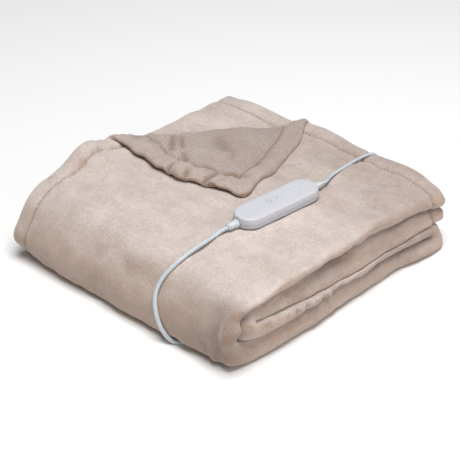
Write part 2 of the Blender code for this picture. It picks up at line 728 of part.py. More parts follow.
def make_plug(collection, plastic, metal):
    """The flat two-pin plug, lying beside the coil."""
    half, neck = PLUG_WIDTH / 2, PLUG_NECK / 2
    right_side = (
        (neck, 0.0),
        (half * 0.80, PLUG_LENGTH * 0.30),
        (half, PLUG_LENGTH * 0.62),
        (half, PLUG_LENGTH),
    )
    outline = (*right_side, *((-x, y) for x, y in reversed(right_side)))
    body = plate("plug_body", outline, PLUG_THICK, collection)
    round_edges(body, 0.0022, 2, lambda co: co.y < PLUG_LENGTH - 1e-4 or abs(co.x) > half - 1e-4)
    body = add_object("plug_body", body, plastic, collection)
    sleeve = turned(
        "plug_sleeve",
        ((0.0042, 0.0), (0.0055, -PLUG_SLEEVE), (0.0055, -PLUG_SLEEVE - 0.006)),
        14,
    )
    lying = Matrix.Rotation(math.pi / 2, 4, "X")
    sleeve.transform(Matrix.Translation((0, -PLUG_SLEEVE, PLUG_THICK / 2)) @ lying)
    sleeve = add_object("plug_sleeve_guide", sleeve, plastic, collection)
    join = body.modifiers.new("Sleeve", "BOOLEAN")
    join.operation = "UNION"
    join.object = sleeve
    bpy.context.view_layer.update()
    mesh = evaluated_mesh(body, "plug_body")
    bpy.data.objects.remove(sleeve, do_unlink=True)
    body = add_object("plug_body", mesh, plastic, collection)
    seat = Matrix.Translation(PLUG_PLACE) @ Matrix.Rotation(PLUG_TURN, 4, "Z")
    body.matrix_world = seat
    for name, side in (("plug_pin_left", -1), ("plug_pin_right", 1)):
        pin = turned(
            name,
            ((PIN_RADIUS * 0.55, 0.0), (PIN_RADIUS, -0.0012), (PIN_RADIUS, -PIN_LENGTH)),
            12,
        )
        pin = add_object(name, pin, metal, collection)
        tip = (side * PIN_SPACING / 2, PLUG_LENGTH + SEAT_GAP + PIN_LENGTH, PLUG_THICK / 2)
        pin.matrix_world = seat @ Matrix.Translation(tip) @ Matrix.Rotation(-math.pi / 2, 4, "X")


def make_socket(collection, plastic):
    """The moulded socket against the upper middle run's end hem, with its short sleeve."""
    long, wide, tall = SOCKET_SIZE
    bm = bmesh.new()
    bmesh.ops.create_cube(bm, size=1.0)
    bmesh.ops.scale(bm, verts=bm.verts, vec=(long, wide, tall))
    bmesh.ops.bevel(bm, geom=bm.edges, offset=0.0012, segments=2, profile=0.5, affect="EDGES")
    bmesh.ops.translate(bm, verts=bm.verts, vec=(long / 2, 0, 0))
    body = add_object("socket", mesh_from(bm, "socket"), plastic, collection)
    sleeve = turned(
        "socket_sleeve",
        ((0.0033, 0.0), (0.0041, -SOCKET_SLEEVE), (0.0041, -SOCKET_SLEEVE - 0.004)),
        12,
    )
    lying = Matrix.Rotation(math.pi / 2, 4, "Y")
    sleeve.transform(Matrix.Translation((long + SOCKET_SLEEVE, 0, 0)) @ lying)
    sleeve = add_object("socket_sleeve_guide", sleeve, plastic, collection)
    join = body.modifiers.new("Sleeve", "BOOLEAN")
    join.operation = "UNION"
    join.object = sleeve
    bpy.context.view_layer.update()
    mesh = evaluated_mesh(body, "socket")
    bpy.data.objects.remove(sleeve, do_unlink=True)
    body = add_object("socket", mesh, plastic, collection)
    body.location = (UPPER_END_X + 0.0006, SOCKET_Y, SOCKET_Z)


def main():
    for obj in list(bpy.data.objects):
        bpy.data.objects.remove(obj, do_unlink=True)
    parts = bpy.data.collections.new("electric_heated_blanket")
    cutters = bpy.data.collections.new("cutters")
    for collection in (parts, cutters):
        bpy.context.scene.collection.children.link(collection)
    cloth = make_material("plush flannel", (0.70, 0.61, 0.54), 0.95)
    plastic = make_material("white ABS", (0.78, 0.79, 0.82), 0.42)
    lens = make_material("clear blue polycarbonate", (0.35, 0.55, 0.95), 0.25)
    rubber = make_material("white flexible PVC", (0.76, 0.80, 0.83), 0.50)
    brass = make_material("nickel-plated brass", (0.80, 0.78, 0.74), 0.25, 1.0)

    make_blanket(parts, cloth)
    make_controller(parts, cutters, plastic, lens)
    make_reliefs(parts, rubber)
    make_cord("mains_lead", MAINS_ROUTE, MAINS_DIAMETER, MAINS_STEP, 2, rubber, parts)
    make_cord("blanket_lead", LEAD_ROUTE, LEAD_DIAMETER, LEAD_STEP, 2, rubber, parts)
    make_coil(parts, rubber)
    make_plug(parts, rubber, brass)
    make_socket(parts, plastic)


main()
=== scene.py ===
# A plush electric blanket, folded into a square pad with one corner turned back. Its hand
# controller lies on top, and the spare mains lead is coiled behind it with its plug.
import math

import bmesh
import bpy
import numpy as np
from mathutils import Matrix, Vector


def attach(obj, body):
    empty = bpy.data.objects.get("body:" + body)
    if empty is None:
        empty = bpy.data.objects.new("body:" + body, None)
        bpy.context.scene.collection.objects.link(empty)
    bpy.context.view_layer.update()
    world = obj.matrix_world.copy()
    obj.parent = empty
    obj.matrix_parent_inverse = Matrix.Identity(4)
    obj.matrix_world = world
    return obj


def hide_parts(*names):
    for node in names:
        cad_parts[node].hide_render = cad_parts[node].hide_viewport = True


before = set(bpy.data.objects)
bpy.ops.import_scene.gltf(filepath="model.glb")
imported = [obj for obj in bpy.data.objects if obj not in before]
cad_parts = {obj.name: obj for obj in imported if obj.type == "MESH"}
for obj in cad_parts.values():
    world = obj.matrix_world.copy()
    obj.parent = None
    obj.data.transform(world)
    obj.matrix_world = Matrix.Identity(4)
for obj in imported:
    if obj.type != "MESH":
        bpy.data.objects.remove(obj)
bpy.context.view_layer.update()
scene = bpy.context.scene


camera = {
    "turn": -47.2,  # degrees round the blanket, 0 looks along +Y
    "height": 32.75,  # degrees above the floor
    "distance": 2.5,
    "target": (-0.004, -0.006, 0.04),
    "lens": 131.44,
    "shift": (0.00109, -0.00217),
}


def makeCamera():
    turn, height = math.radians(camera["turn"]), math.radians(camera["height"])
    back = Vector(
        (math.sin(turn) * math.cos(height), -math.cos(turn) * math.cos(height), math.sin(height))
    )
    data = bpy.data.cameras.new("camera")
    data.lens, data.sensor_width = camera["lens"], 36
    data.shift_x, data.shift_y = camera["shift"]
    obj = bpy.data.objects.new("camera", data)
    obj.location = Vector(camera["target"]) + back * camera["distance"]
    obj.rotation_euler = back.to_track_quat("Z", "Y").to_euler()
    scene.collection.objects.link(obj)
    scene.camera = obj


def hexColour(code):
    # sRGB hex to linear red, green, blue and 1
    values = [int(code[i : i + 2], 16) / 255 for i in (1, 3, 5)]
    return [v / 12.92 if v <= 0.04045 else ((v + 0.055) / 1.055) ** 2.4 for v in values] + [1.0]


def setInputs(tree, node, inputs):
    # an input is a value, or another node's output to link
    for name, value in inputs.items():
        if isinstance(value, bpy.types.NodeSocket):
            tree.links.new(value, node.inputs[name])
        else:
            node.inputs[name].default_value = value


def addNode(tree, kind, inputs=None, **settings):
    node = tree.nodes.new(kind)
    for name, value in settings.items():
        setattr(node, name, value)
    setInputs(tree, node, inputs or {})
    return node


def newMaterial(name):
    material = bpy.data.materials.new(name)
    material.use_nodes = True
    tree = material.node_tree
    return material, tree, tree.nodes["Principled BSDF"]


def addPiece(name, mesh, material, smooth=True):
    if smooth:
        mesh.shade_smooth()
    mesh.materials.clear()
    mesh.materials.append(material)
    obj = bpy.data.objects.new(name, mesh)
    scene.collection.objects.link(obj)
    return obj


def meshFrom(bm, name):
    mesh = bpy.data.meshes.new(name)
    bm.to_mesh(mesh)
    bm.free()
    return mesh


def bakedMesh(guide):
    # what its modifiers or its curve settings make of it, and the guide is gone
    scene.collection.objects.link(guide)
    graph = bpy.context.evaluated_depsgraph_get()
    mesh = bpy.data.meshes.new_from_object(guide.evaluated_get(graph))
    bpy.data.objects.remove(guide, do_unlink=True)
    return mesh


def sharpenEdges(obj, angle):
    # shade flat across edges sharper than angle, in degrees
    bm = bmesh.new()
    bm.from_mesh(obj.data)
    for edge in bm.edges:
        if len(edge.link_faces) == 2 and edge.calc_face_angle(0) > math.radians(angle):
            edge.smooth = False
    bm.to_mesh(obj.data)
    bm.free()


def shell(name, rings, material, sharp=None):
    # a closed shell through rings of the same number of points, from one end to the other
    count = len(rings[0])
    bm = bmesh.new()
    loops = [[bm.verts.new(p) for p in ring] for ring in rings]
    for low, high in zip(loops, loops[1:]):
        for i in range(count):
            j = (i + 1) % count
            bm.faces.new((low[i], low[j], high[j], high[i]))
    bm.faces.new(loops[0][::-1])
    bm.faces.new(loops[-1])
    bmesh.ops.recalc_face_normals(bm, faces=bm.faces)
    piece = addPiece(name, meshFrom(bm, name), material)
    if sharp:
        sharpenEdges(piece, sharp)
    return piece


def spun(name, profile, steps, place, material, sharp=None):
    # a closed shape turned about the local Z from (radius, height) points, set in place
    angles = [2 * math.pi * i / steps for i in range(steps)]
    rings = []
    for radius, height in profile:
        rings.append([place @ Vector((radius * math.cos(a), radius * math.sin(a), height)) for a in angles])
    return shell(name, rings, material, sharp)


def roundCurve(name, points, diameter, bevel):
    # straight from point to point, with a round section
    curve = bpy.data.curves.new(name, "CURVE")
    curve.dimensions = "3D"
    curve.bevel_depth = diameter / 2
    curve.bevel_resolution = bevel
    spline = curve.splines.new("POLY")
    spline.points.add(len(points) - 1)
    for target, point in zip(spline.points, points):
        target.co = (*point, 1)
    return curve


def seat(place, turn):
    # from a piece's own axes to the room's, turned about Z by turn in degrees
    return Matrix.Translation(place) @ Matrix.Rotation(math.radians(turn), 4, "Z")


def smoothStep(low, high, value):
    share = np.clip((value - low) / (high - low), 0.0, 1.0)
    return share * share * (3 - 2 * share)


def hump(distance, reach):
    # 1 at no distance, 0.37 at reach
    return np.exp(-((distance / reach) ** 2))


def softNoise(u, v, size, seed, waves=9):
    # smooth unevenness with a spread of about 1, made of waves about size long
    dice = np.random.default_rng(seed)
    total = 0.0
    for _ in range(waves):
        angle, stretch, phase = dice.uniform(0, 2 * np.pi), dice.uniform(0.7, 1.6), dice.uniform(0, 7)
        along = u * np.cos(angle) + v * np.sin(angle)
        total = total + np.sin(2 * np.pi * along / (size * stretch) + phase)
    return total / math.sqrt(waves / 2)


def nearLine(u, v, u0, v0, u1, v1):
    # the share of the line that lies before each point, and the point's distance from the line
    du, dv = u1 - u0, v1 - v0
    share = np.clip(((u - u0) * du + (v - v0) * dv) / (du * du + dv * dv), 0.0, 1.0)
    return share, np.hypot(u - u0 - share * du, v - v0 - share * dv)


def creases(rows, u, v):
    # start, end, width and height of each crease (below 0) or ridge (above 0)
    total = 0.0
    for *line, width, height in rows:
        share, away = nearLine(u, v, *line)
        total = total + height * hump(away, width) * np.sqrt(4 * share * (1 - share))
    return total


# Plush flannel, knitted polyester with a brushed pile: a soft matt face with brush marks and tufts,
# and fine twill ribs on the darker reverse. Painted light: it is painted pale and a little grey where
# it faces up to the light, and warm and darker where it turns away, as painted shade.
flannel = {
    "light": "#DED2CB",  # the upper face, painted pale as lit from above
    "mid": "#A48F85",
    "warm": "#BCA292",  # the sides, painted darker and warmer as in shade
    "shaded": "#A58A77",
    "deepAndShade": "#876D5C",  # between the tufts and the reverse's ribs, and painted shade
    "rib": 0.0037,  # a twill rib is 1.2 mm, drawn at 3.7 mm to show
    "strokeTurn": 28,  # degrees that the brush strokes are turned
    "strokeStretch": 0.25,
    "relief": {"tufts": 0.0009, "swirl": 0.0020, "ribs": 0.0010},  # metres
}
# noise patterns over it: size, detail, roughness, distortion; a tuft is 0.3 mm, drawn at 1.8 mm
pile = {
    "drift": (0.070, 3, 0.5, 0.0),
    "strokes": (0.024, 3, 0.6, 0.0),
    "mottle": (0.015, 4, 0.6, 0.0),
    "blotch": (0.0048, 3, 0.6, 0.0),
    "tufts": (0.0018, 2, 0.7, 0.0),
    "swirl": (0.0062, 4, 0.6, 0.8),
}


def makeFlannel():
    material, tree, shader = newMaterial("brushed plush flannel")
    place = addNode(tree, "ShaderNodeTexCoord").outputs["Object"]
    axes = addNode(tree, "ShaderNodeSeparateXYZ", {"Vector": place}).outputs
    flat = addNode(tree, "ShaderNodeUVMap", uv_map="flatCloth").outputs["UV"]
    painted = {}
    for name in ("reverse", "ribbed", "upward", "deepAndShade"):
        painted[name] = addNode(tree, "ShaderNodeAttribute", attribute_name=name).outputs["Fac"]
    turn = (0.0, 0.0, math.radians(flannel["strokeTurn"]))
    stretch = (1.0, flannel["strokeStretch"], 1.0)
    brushed = addNode(
        tree, "ShaderNodeMapping", {"Vector": place, "Rotation": turn, "Scale": stretch}
    ).outputs["Vector"]
    noise = {}
    for name, (size, detail, roughness, distortion) in pile.items():
        inputs = {"Vector": brushed if name == "strokes" else place, "Scale": 1 / size}
        inputs.update({"Detail": detail, "Roughness": roughness, "Distortion": distortion})
        noise[name] = addNode(tree, "ShaderNodeTexNoise", inputs).outputs["Fac"]
    inputs = {"Vector": flat, "Scale": 0.314 / flannel["rib"], "Distortion": 0.7}
    inputs.update({"Detail": 2.0, "Detail Scale": 1.5})
    ribs = addNode(
        tree, "ShaderNodeTexWave", inputs, wave_type="BANDS", bands_direction="X"
    ).outputs["Fac"]
    ranges = {  # each value, its low and high, and what they become
        # painted shade: the top is darker towards the open end's front
        "topShadeAlong": (axes["X"], -0.02, 0.17, 0.02, -0.17),
        "topShadeAcross": (axes["Y"], -0.06, 0.11, 1.0, 0.05),
        # and painted shade: the wrap is darker towards the front corner
        "onWrap": (axes["X"], -0.222, -0.192, 0.56, 0.0),
        "alongWrap": (axes["Y"], -0.20, -0.09, 1.0, 0.0),
        "flecks": (noise["tufts"], 0.34, 0.62, 0.30, 0.0),
        "betweenRibs": (ribs, 0.0, 0.8, 0.29, 0.0),
    }
    mapped = {}
    for name, (value, low, high, toLow, toHigh) in ranges.items():
        inputs = {"Value": value, "From Min": low, "From Max": high, "To Min": toLow, "To Max": toHigh}
        mapped[name] = addNode(tree, "ShaderNodeMapRange", inputs).outputs["Result"]
    ribbing = addNode(
        tree, "ShaderNodeMath", {0: ribs, 1: painted["ribbed"]}, operation="MULTIPLY"
    ).outputs["Value"]
    shares = {"drift": 0.30, "strokes": 0.20, "mottle": 0.22, "blotch": 0.28}
    evenly = tuple((noise[name], share) for name, share in shares.items())
    relief = flannel["relief"]
    sums = {  # each is a sum of products
        # the top's tone: random mottle, and the painted shade towards the open end
        "topMottleAndShade": (*evenly, (mapped["topShadeAlong"], mapped["topShadeAcross"])),
        "side": evenly,
        # darker: the reverse, the flecks and the ribs are the cloth's own; the rest is painted shade, in
        # seams, creases, the hollow and on the wrap
        "darker": (
            (painted["reverse"], 0.28),
            (mapped["flecks"], 1.0),
            (mapped["betweenRibs"], painted["ribbed"]),
            (painted["deepAndShade"], 0.48),
            (mapped["onWrap"], mapped["alongWrap"]),
        ),
        "height": (
            (noise["tufts"], relief["tufts"]),
            (noise["swirl"], relief["swirl"]),
            (ribbing, relief["ribs"]),
        ),
    }
    total = {}
    for name, parts in sums.items():
        total[name] = 0.0
        for part, weight in parts:
            inputs = {0: part, 1: weight, 2: total[name]}
            total[name] = addNode(tree, "ShaderNodeMath", inputs, operation="MULTIPLY_ADD").outputs["Value"]
    tones = []
    for value, low, high, dark, pale in (
        (total["side"], "shaded", "warm", 0.34, 0.57),
        (total["topMottleAndShade"], "mid", "light", 0.20, 0.62),
    ):
        ramp = addNode(tree, "ShaderNodeValToRGB", {"Fac": value})
        ends = ramp.color_ramp.elements
        ends[0].position, ends[0].color = dark, hexColour(flannel[low])
        ends[1].position, ends[1].color = pale, hexColour(flannel[high])
        tones.append(ramp.outputs["Color"])
    # painted light: faces turned upward take the pale lit top tones, the rest the side tones in painted
    # shade
    inputs = {"Factor": painted["upward"], "A": tones[0], "B": tones[1]}
    broad = addNode(tree, "ShaderNodeMix", inputs, data_type="RGBA").outputs["Result"]
    inputs = {"Factor": total["darker"], "A": broad, "B": hexColour(flannel["deepAndShade"])}
    colour = addNode(tree, "ShaderNodeMix", inputs, data_type="RGBA", clamp_factor=True)
    bump = addNode(tree, "ShaderNodeBump", {"Height": total["height"], "Strength": 0.6, "Distance": 1.0})
    values = {"Base Color": colour.outputs["Result"], "Normal": bump.outputs["Normal"], "Roughness": 0.96}
    values.update({"Specular IOR Level": 0.12, "Sheen Weight": 0.5, "Sheen Roughness": 0.6})
    setInputs(tree, shader, values)
    shader.inputs["Sheen Tint"].default_value = hexColour("#FFFFFF")
    return material


# A moulded, printed, turned or spun finish: one colour with a slight cloud in it and a fine grain.
# Name, colour, roughness, size and depth of the grain, cloud, and the shader's other values
finishes = {
    # white ABS, injection moulded in a spark-eroded tool: satin, faintly blue, soft highlights
    "abs": ("moulded satin ABS", "#CFD0D6", 0.42, 0.0006, 0.25, 0.03, {"IOR": 1.53}),
    # flexible PVC, extruded: slightly waxy and cooler than the case
    "pvc": ("extruded flexible PVC", "#C9D1D7", 0.44, 0.0012, 0.35, 0.03, {"IOR": 1.52}),
    "moulding": ("overmoulded PVC", "#D0D7DD", 0.40, 0.0009, 0.3, 0.03, {"IOR": 1.52}),
    # pad-printed ink: flat grey
    "ink": ("pad-printed grey ink", "#8B9099", 0.6, 0.0004, 0.2, 0.03, {}),
    # clear polycarbonate over small blue lamps: glossy, with a pale blue glow
    "lens": (
        "blue-lit polycarbonate", "#C6D4EC", 0.2, 0.0008, 0.1, 0.03,
        {"IOR": 1.58, "Emission Color": hexColour("#6FA0F2"), "Emission Strength": 0.12},
    ),
    # nickel-plated brass, turned: mirror-like with fine turning marks
    "nickel": ("nickel-plated brass", "#D9D5CC", 0.22, 0.0003, 0.3, 0.01, {"Metallic": 1.0}),
    # spun polyester thread: darker, greyer and a little shinier than the pile
    "thread": ("spun polyester thread", "#8A7565", 0.6, 0.0004, 0.4, 0.03, {"Sheen Weight": 0.2}),
}
cloudSize, polishSpread, grainHeight = 0.03, 0.04, 0.0002


def makeFinish(name, colour, roughness, grain, depth, cloud, others):
    material, tree, shader = newMaterial(name)
    place = addNode(tree, "ShaderNodeTexCoord").outputs["Object"]
    noise = []
    for size, detail in ((grain, 3.0), (cloudSize, 2.0)):
        inputs = {"Vector": place, "Scale": 1 / size, "Detail": detail}
        noise.append(addNode(tree, "ShaderNodeTexNoise", inputs).outputs["Fac"])
    fine, slow = noise
    paler = hexColour(colour)
    darker = [v * (1 - cloud * 3) for v in paler[:3]] + [1.0]
    tone = addNode(tree, "ShaderNodeMix", {"Factor": slow, "A": paler, "B": darker}, data_type="RGBA")
    inputs = {"Value": slow, "From Min": 0.3, "From Max": 0.7}
    inputs.update({"To Min": roughness - polishSpread, "To Max": roughness + polishSpread})
    polish = addNode(tree, "ShaderNodeMapRange", inputs)
    bump = addNode(tree, "ShaderNodeBump", {"Height": fine, "Strength": depth, "Distance": grainHeight})
    values = {"Base Color": tone.outputs["Result"], "Roughness": polish.outputs["Result"]}
    values.update({"Normal": bump.outputs["Normal"], **others})
    setInputs(tree, shader, values)
    return material


def makeMaterials():
    made = {"flannel": makeFlannel()}
    for key, values in finishes.items():
        made[key] = makeFinish(*values)
    print(f"materials: {len(made)}")
    return made


case = {
    "length": 0.150,
    "width": 0.048,
    "lower": 0.0075,  # heights of its two halves
    "upper": 0.0105,
    "exit": 0.0073,  # height of the leads' exits
    "centre": (0.0, -0.094),
    "turn": -6.2,  # degrees
    "seat": 0.1105,  # height of what it lies on
    "endFlat": 0.013,  # width of the flat tip of each end
    "sharp": 35,  # degrees: an edge sharper than this shows as an edge
}
caseSeat = seat((*case["centre"], case["seat"]), case["turn"])
caseTop = case["lower"] + case["upper"]


def onCase(along, across, height):
    return caseSeat @ Vector((along, across, height))


leads = {
    "mainsDiameter": 0.0063,
    "mainsLength": 2.43,
    "controlDiameter": 0.0048,
    "controlLength": 0.365,
    "step": 0.004,  # between the points of a finished lead
    "floor": 0.00325,  # height of the mains lead's middle where it lies on the floor
    "clear": 0.0001,  # over the floor
}
lying = leads["floor"]
mainsRoute = (
    tuple(onCase(-0.0936, 0, case["exit"])),
    tuple(onCase(-0.1016, 0, case["exit"])),
    (-0.1160, -0.0815, 0.1145),
    (-0.1383, -0.0820, 0.1137),
    (-0.1573, -0.0828, 0.1134),
    (-0.1736, -0.0835, 0.1122),
    (-0.1880, -0.0819, 0.1080),
    (-0.1998, -0.0784, 0.1005),
    (-0.2079, -0.0750, 0.0928),
    (-0.2156, -0.0727, 0.0838),
    (-0.2221, -0.0723, 0.0751),
    (-0.2275, -0.0739, 0.0668),
    (-0.2316, -0.0766, 0.0588),
    (-0.2347, -0.0804, 0.0515),
    (-0.2365, -0.0843, 0.0435),
    (-0.2365, -0.0875, 0.0345),
    (-0.2358, -0.0910, 0.0262),
    (-0.2344, -0.0950, 0.0190),
    (-0.2324, -0.1000, 0.0120),
    (-0.2288, -0.1065, 0.0058),
    (-0.2215, -0.1140, lying),
    (-0.2140, -0.1225, lying),
    (-0.2040, -0.1325, lying),
    (-0.1900, -0.1412, lying),
    (-0.1700, -0.1391, lying),
    (-0.1000, -0.1183, lying),
    (0.0000, -0.0887, lying),
    (0.1000, -0.0591, lying),
    (0.1800, -0.0354, lying),
    (0.2300, -0.0206, lying),
    (0.2480, -0.0148, lying),
    (0.2650, -0.0080, lying),
    (0.2810, 0.0005, lying),
    (0.2952, 0.0101, lying),
)
controlRoute = (
    tuple(onCase(0.0896, 0, case["exit"])),
    tuple(onCase(0.0976, 0, case["exit"])),
    (0.1120, -0.0985, 0.1148),
    (0.1250, -0.0945, 0.1132),
    (0.1400, -0.0930, 0.1128),
    (0.1568, -0.0924, 0.1124),
    (0.1755, -0.0915, 0.1120),
    (0.1902, -0.0900, 0.1104),
    (0.2038, -0.0895, 0.1088),
    (0.2150, -0.0895, 0.1070),
    (0.2240, -0.0898, 0.1048),
    (0.2320, -0.0906, 0.1008),
    (0.2362, -0.0914, 0.0940),
    (0.2374, -0.0921, 0.0870),
    (0.2384, -0.0925, 0.0700),
    (0.2400, -0.0922, 0.0480),
    (0.2434, -0.0915, 0.0280),
    (0.2492, -0.0900, 0.0125),
    (0.2572, -0.0878, 0.0045),
    (0.2665, -0.0840, 0.0025),
    (0.2752, -0.0780, 0.0025),
    (0.2798, -0.0700, 0.0025),
    (0.2802, -0.0612, 0.0042),
    (0.2790, -0.0552, 0.0120),
    (0.2777, -0.0526, 0.0240),
    (0.2770, -0.0520, 0.0380),
    (0.2763, -0.0520, 0.0510),
    (0.2733, -0.0520, 0.0590),
    (0.2665, -0.0520, 0.0623),
    (0.2597, -0.0520, 0.0624),
)


coil = {
    "centre": (0.286, 0.060),
    "radii": (0.04415, 0.03785, 0.03155, 0.02525),
    "start": -50,  # degrees round the coil where the lead comes in
    "exit": 2600,  # degrees wound before it leaves for the plug
    "step": 6,
    "shift": 80,  # degrees that a change of radius or layer takes
    # degrees wound, which radius and which layer: in, up at the smallest turn, and out again
    "changes": (
        (280, 1, 0), (640, 2, 0), (1000, 3, 0), (1280, 3, 1), (1560, 2, 1), (1920, 1, 1), (2280, 0, 1),
    ),
}


def coilPoints():
    x, y = coil["centre"]
    points = []
    for wound in range(0, coil["exit"] + 1, coil["step"]):
        radius, layer = coil["radii"][0], 0.0
        for begin, toRadius, toLayer in coil["changes"]:
            share = float(smoothStep(begin, begin + coil["shift"], wound))
            radius += (coil["radii"][toRadius] - radius) * share
            layer += (toLayer - layer) * share
        angle = math.radians(coil["start"] + wound)
        height = leads["floor"] + layer * leads["mainsDiameter"]
        points.append((x + radius * math.cos(angle), y + radius * math.sin(angle), height))
    return points


plug = {
    "place": (0.3011, 0.1222, 0.0002),
    "turn": 30,  # degrees
    "thick": 0.0137,
    "width": 0.0350,
    "neck": 0.0150,  # its width at the sleeve
    "length": 0.0360,
    "sleeve": 0.020,
    "pinLength": 0.019,
    "pinRadius": 0.002,
    "pinApart": 0.019,
    "sharp": 50,
    # its rounded edges: how far in from the outline, and height from its flat faces
    "edges": ((0.0024, 0), (0.0011, 0.0003), (0.0003, 0.0011), (0, 0.0026)),
}
plugSeat = seat(plug["place"], plug["turn"])


def evenPoints(route, step):
    # points a step apart on a smooth curve through the route
    knots = [Vector(p) for p in route]
    knots = [2 * knots[0] - knots[1], *knots, 2 * knots[-1] - knots[-2]]
    fine = []
    for a, b, c, d in zip(knots, knots[1:], knots[2:], knots[3:]):
        spans = [max((q - p).length, 1e-6) ** 0.5 for p, q in ((a, b), (b, c), (c, d))]
        leave = ((b - a) / spans[0] - (c - a) / (spans[0] + spans[1]) + (c - b) / spans[1]) * spans[1]
        arrive = ((c - b) / spans[1] - (d - b) / (spans[1] + spans[2]) + (d - c) / spans[2]) * spans[1]
        for u in np.arange(16) / 16:
            fine.append(
                (2 * u**3 - 3 * u**2 + 1) * b + (u**3 - 2 * u**2 + u) * leave
                + (3 * u**2 - 2 * u**3) * c + (u**3 - u**2) * arrive
            )
    fine.append(knots[-2])
    fine = np.array(fine)
    travelled = np.concatenate([[0], np.cumsum(np.linalg.norm(np.diff(fine, axis=0), axis=1))])
    even = np.linspace(0, travelled[-1], round(travelled[-1] / step) + 1)
    return np.column_stack([np.interp(even, travelled, fine[:, i]) for i in range(3)])


def makeLead(name, route, diameter, material):
    points = evenPoints(route, leads["step"])
    points[:, 2] = np.maximum(points[:, 2], diameter / 2 + leads["clear"])
    curve = roundCurve(name, points, diameter, 4)
    curve.use_fill_caps = True
    curve.splines[0].use_smooth = True
    curve.materials.append(material)
    obj = bpy.data.objects.new(name, curve)
    scene.collection.objects.link(obj)
    print(f"{name}: {np.linalg.norm(np.diff(points, axis=0), axis=1).sum():.3f} m")
    return obj


def makeLeads(materials):
    # the mains lead's last points run straight into the plug's sleeve
    ends = []
    for along, rise in ((-0.010, 0.0004), (0.0, 0.0), (0.0015, 0.0)):
        ends.append(tuple(plugSeat @ Vector((0, along - plug["sleeve"], plug["thick"] / 2 + rise))))
    route = [*mainsRoute, *coilPoints(), *ends]
    mains = makeLead("mainsLead", route, leads["mainsDiameter"], materials["pvc"])
    control = makeLead("controlLead", controlRoute, leads["controlDiameter"], materials["pvc"])
    return mains, control


cloth = {
    "thickness": 0.008,  # with its pile
    "pitch": 0.0092,  # from one layer to the next
    "hem": 0.028,
    "halfWidth": 0.226,  # the folded blanket, along Y
    "topEnd": 0.2285,  # X of the top run's end hem
    "wrapOut": -0.2365,  # X of the big wrap's outside
    "cornerRadius": 0.016,
    "nearCorner": 0.003,  # how far the top's near corner is drawn in
    # steps of its grid, fine on the flap and at the near corner and coarse inside: until, step
    "rowSteps": (
        (0.290, 0.0034), (0.420, 0.0068), (0.545, 0.0054), (1.150, 0.0135), (1.390, 0.0062), (9, 0.0135),
    ),
    "columnSteps": ((0.210, 0.0034), (0.395, 0.0068), (0.455, 0.0038), (9, 0.0190)),
    "edge": 0.0045,  # reach of its rounded edge
    "seamReach": 0.0030,
    "seamPinch": 0.62,  # share of the thickness that the seam takes
    "hemPuff": 0.12,
    "bank": 0.0016,  # of the pile round the controller
    "pucker": 0.0008,  # along the hem's seam
    "flapPucker": 0.0014,
    "hemSwell": 0.0012,  # of a hem that nothing lies on, up to hemOpen across the cloth
    "hemOpen": 0.44,
}
cloth["run"] = 3 * cloth["pitch"]
cloth["bottom"] = cloth["pitch"] + cloth["thickness"] / 2
cloth["top"] = cloth["bottom"] + 3 * cloth["run"] + cloth["pitch"] + cloth["thickness"] / 2
wrapX, noseX, endFoldX = -0.1819, -0.1809, 0.2065
nearFoldY, farFoldY, innerHemY = -0.2128, 0.2054, -0.2118

# Each row of a fold: bulge along the first axis (0 for a flat stretch), start, end, level at each,
# and the side that the first layer's face is on
runs = (
    (0, 0.2285, wrapX, 3, 3, 1),
    (-1, wrapX, wrapX, 3, 0, 1),
    (0, wrapX, endFoldX, 0, 0, -1),
    (1, endFoldX, endFoldX, 0, 1, 1),
    (0, endFoldX, noseX, 1, 1, 1),
    (-1, noseX, noseX, 1, 2, -1),
    (0, noseX, 0.2305, 2, 2, -1),
)
layers = (
    (0, 0.226, nearFoldY, 1, 1, 1),
    (-1, nearFoldY, nearFoldY, 1, -1, 1),
    (0, nearFoldY, farFoldY, -1, -1, -1),
    (1, farFoldY, farFoldY, -1, 0, 1),
    (0, farFoldY, innerHemY, 0, 0, 1),
)
corner = {  # the top layer's corner, turned back over itself
    "along": 0.274,  # from the corner to the fold line, along the side hem
    "across": 0.196,  # and along the end hem
    "roll": 0.0050,
    "tip": (-0.010, -0.044),
    "rest": 0.0092,  # from the layer it lies on to the flap
    "edgeLift": 0.0034,
    "sideBow": 0.021,  # how far its two edges bow outwards
    "endBow": 0.011,
    "bowMiddle": 0.112,  # from the corner, and how far the side's bow reaches each way
    "bowReach": (0.060, 0.085),
    "laid": 0.032,  # past the roll, where it lies flat
    "frill": 0.0014,  # of its side hem
    "frillReach": 0.016,
    "frillLength": 0.0075,
    "thinEdge": 0.0024,
}


def foldLength(row, step):
    bulge, start, end, levelA, levelB, _ = row
    return math.pi * abs(levelB - levelA) * step / 2 if bulge else abs(end - start)


def fold(rows, step, distance, depth):
    # where cloth at that distance lies, moved by depth towards the first layer's face
    begin = 0.0
    place = height = sideways = upward = np.zeros_like(distance)
    for row in rows:
        bulge, start, end, levelA, levelB, face = row
        rest = distance - begin
        if bulge:
            radius = abs(levelB - levelA) * step / 2
            down = math.copysign(1, levelA - levelB)
            outX, outZ = bulge * np.sin(rest / radius), down * np.cos(rest / radius)
            atPlace, atHeight = start + radius * outX, (levelA + levelB) / 2 * step + radius * outZ
            faceX, faceZ = face * outX, face * outZ
        else:
            atPlace, atHeight = start + math.copysign(1, end - start) * rest, levelA * step
            faceX, faceZ = 0.0, float(face)
        here = rest >= 0
        place, height = np.where(here, atPlace, place), np.where(here, atHeight, height)
        sideways, upward = np.where(here, faceX, sideways), np.where(here, faceZ, upward)
        begin += foldLength(row, step)
    return place + depth * sideways, height + depth * upward


clothLength = sum(foldLength(row, cloth["run"]) for row in runs)
clothWidth = sum(foldLength(row, cloth["pitch"]) for row in layers)

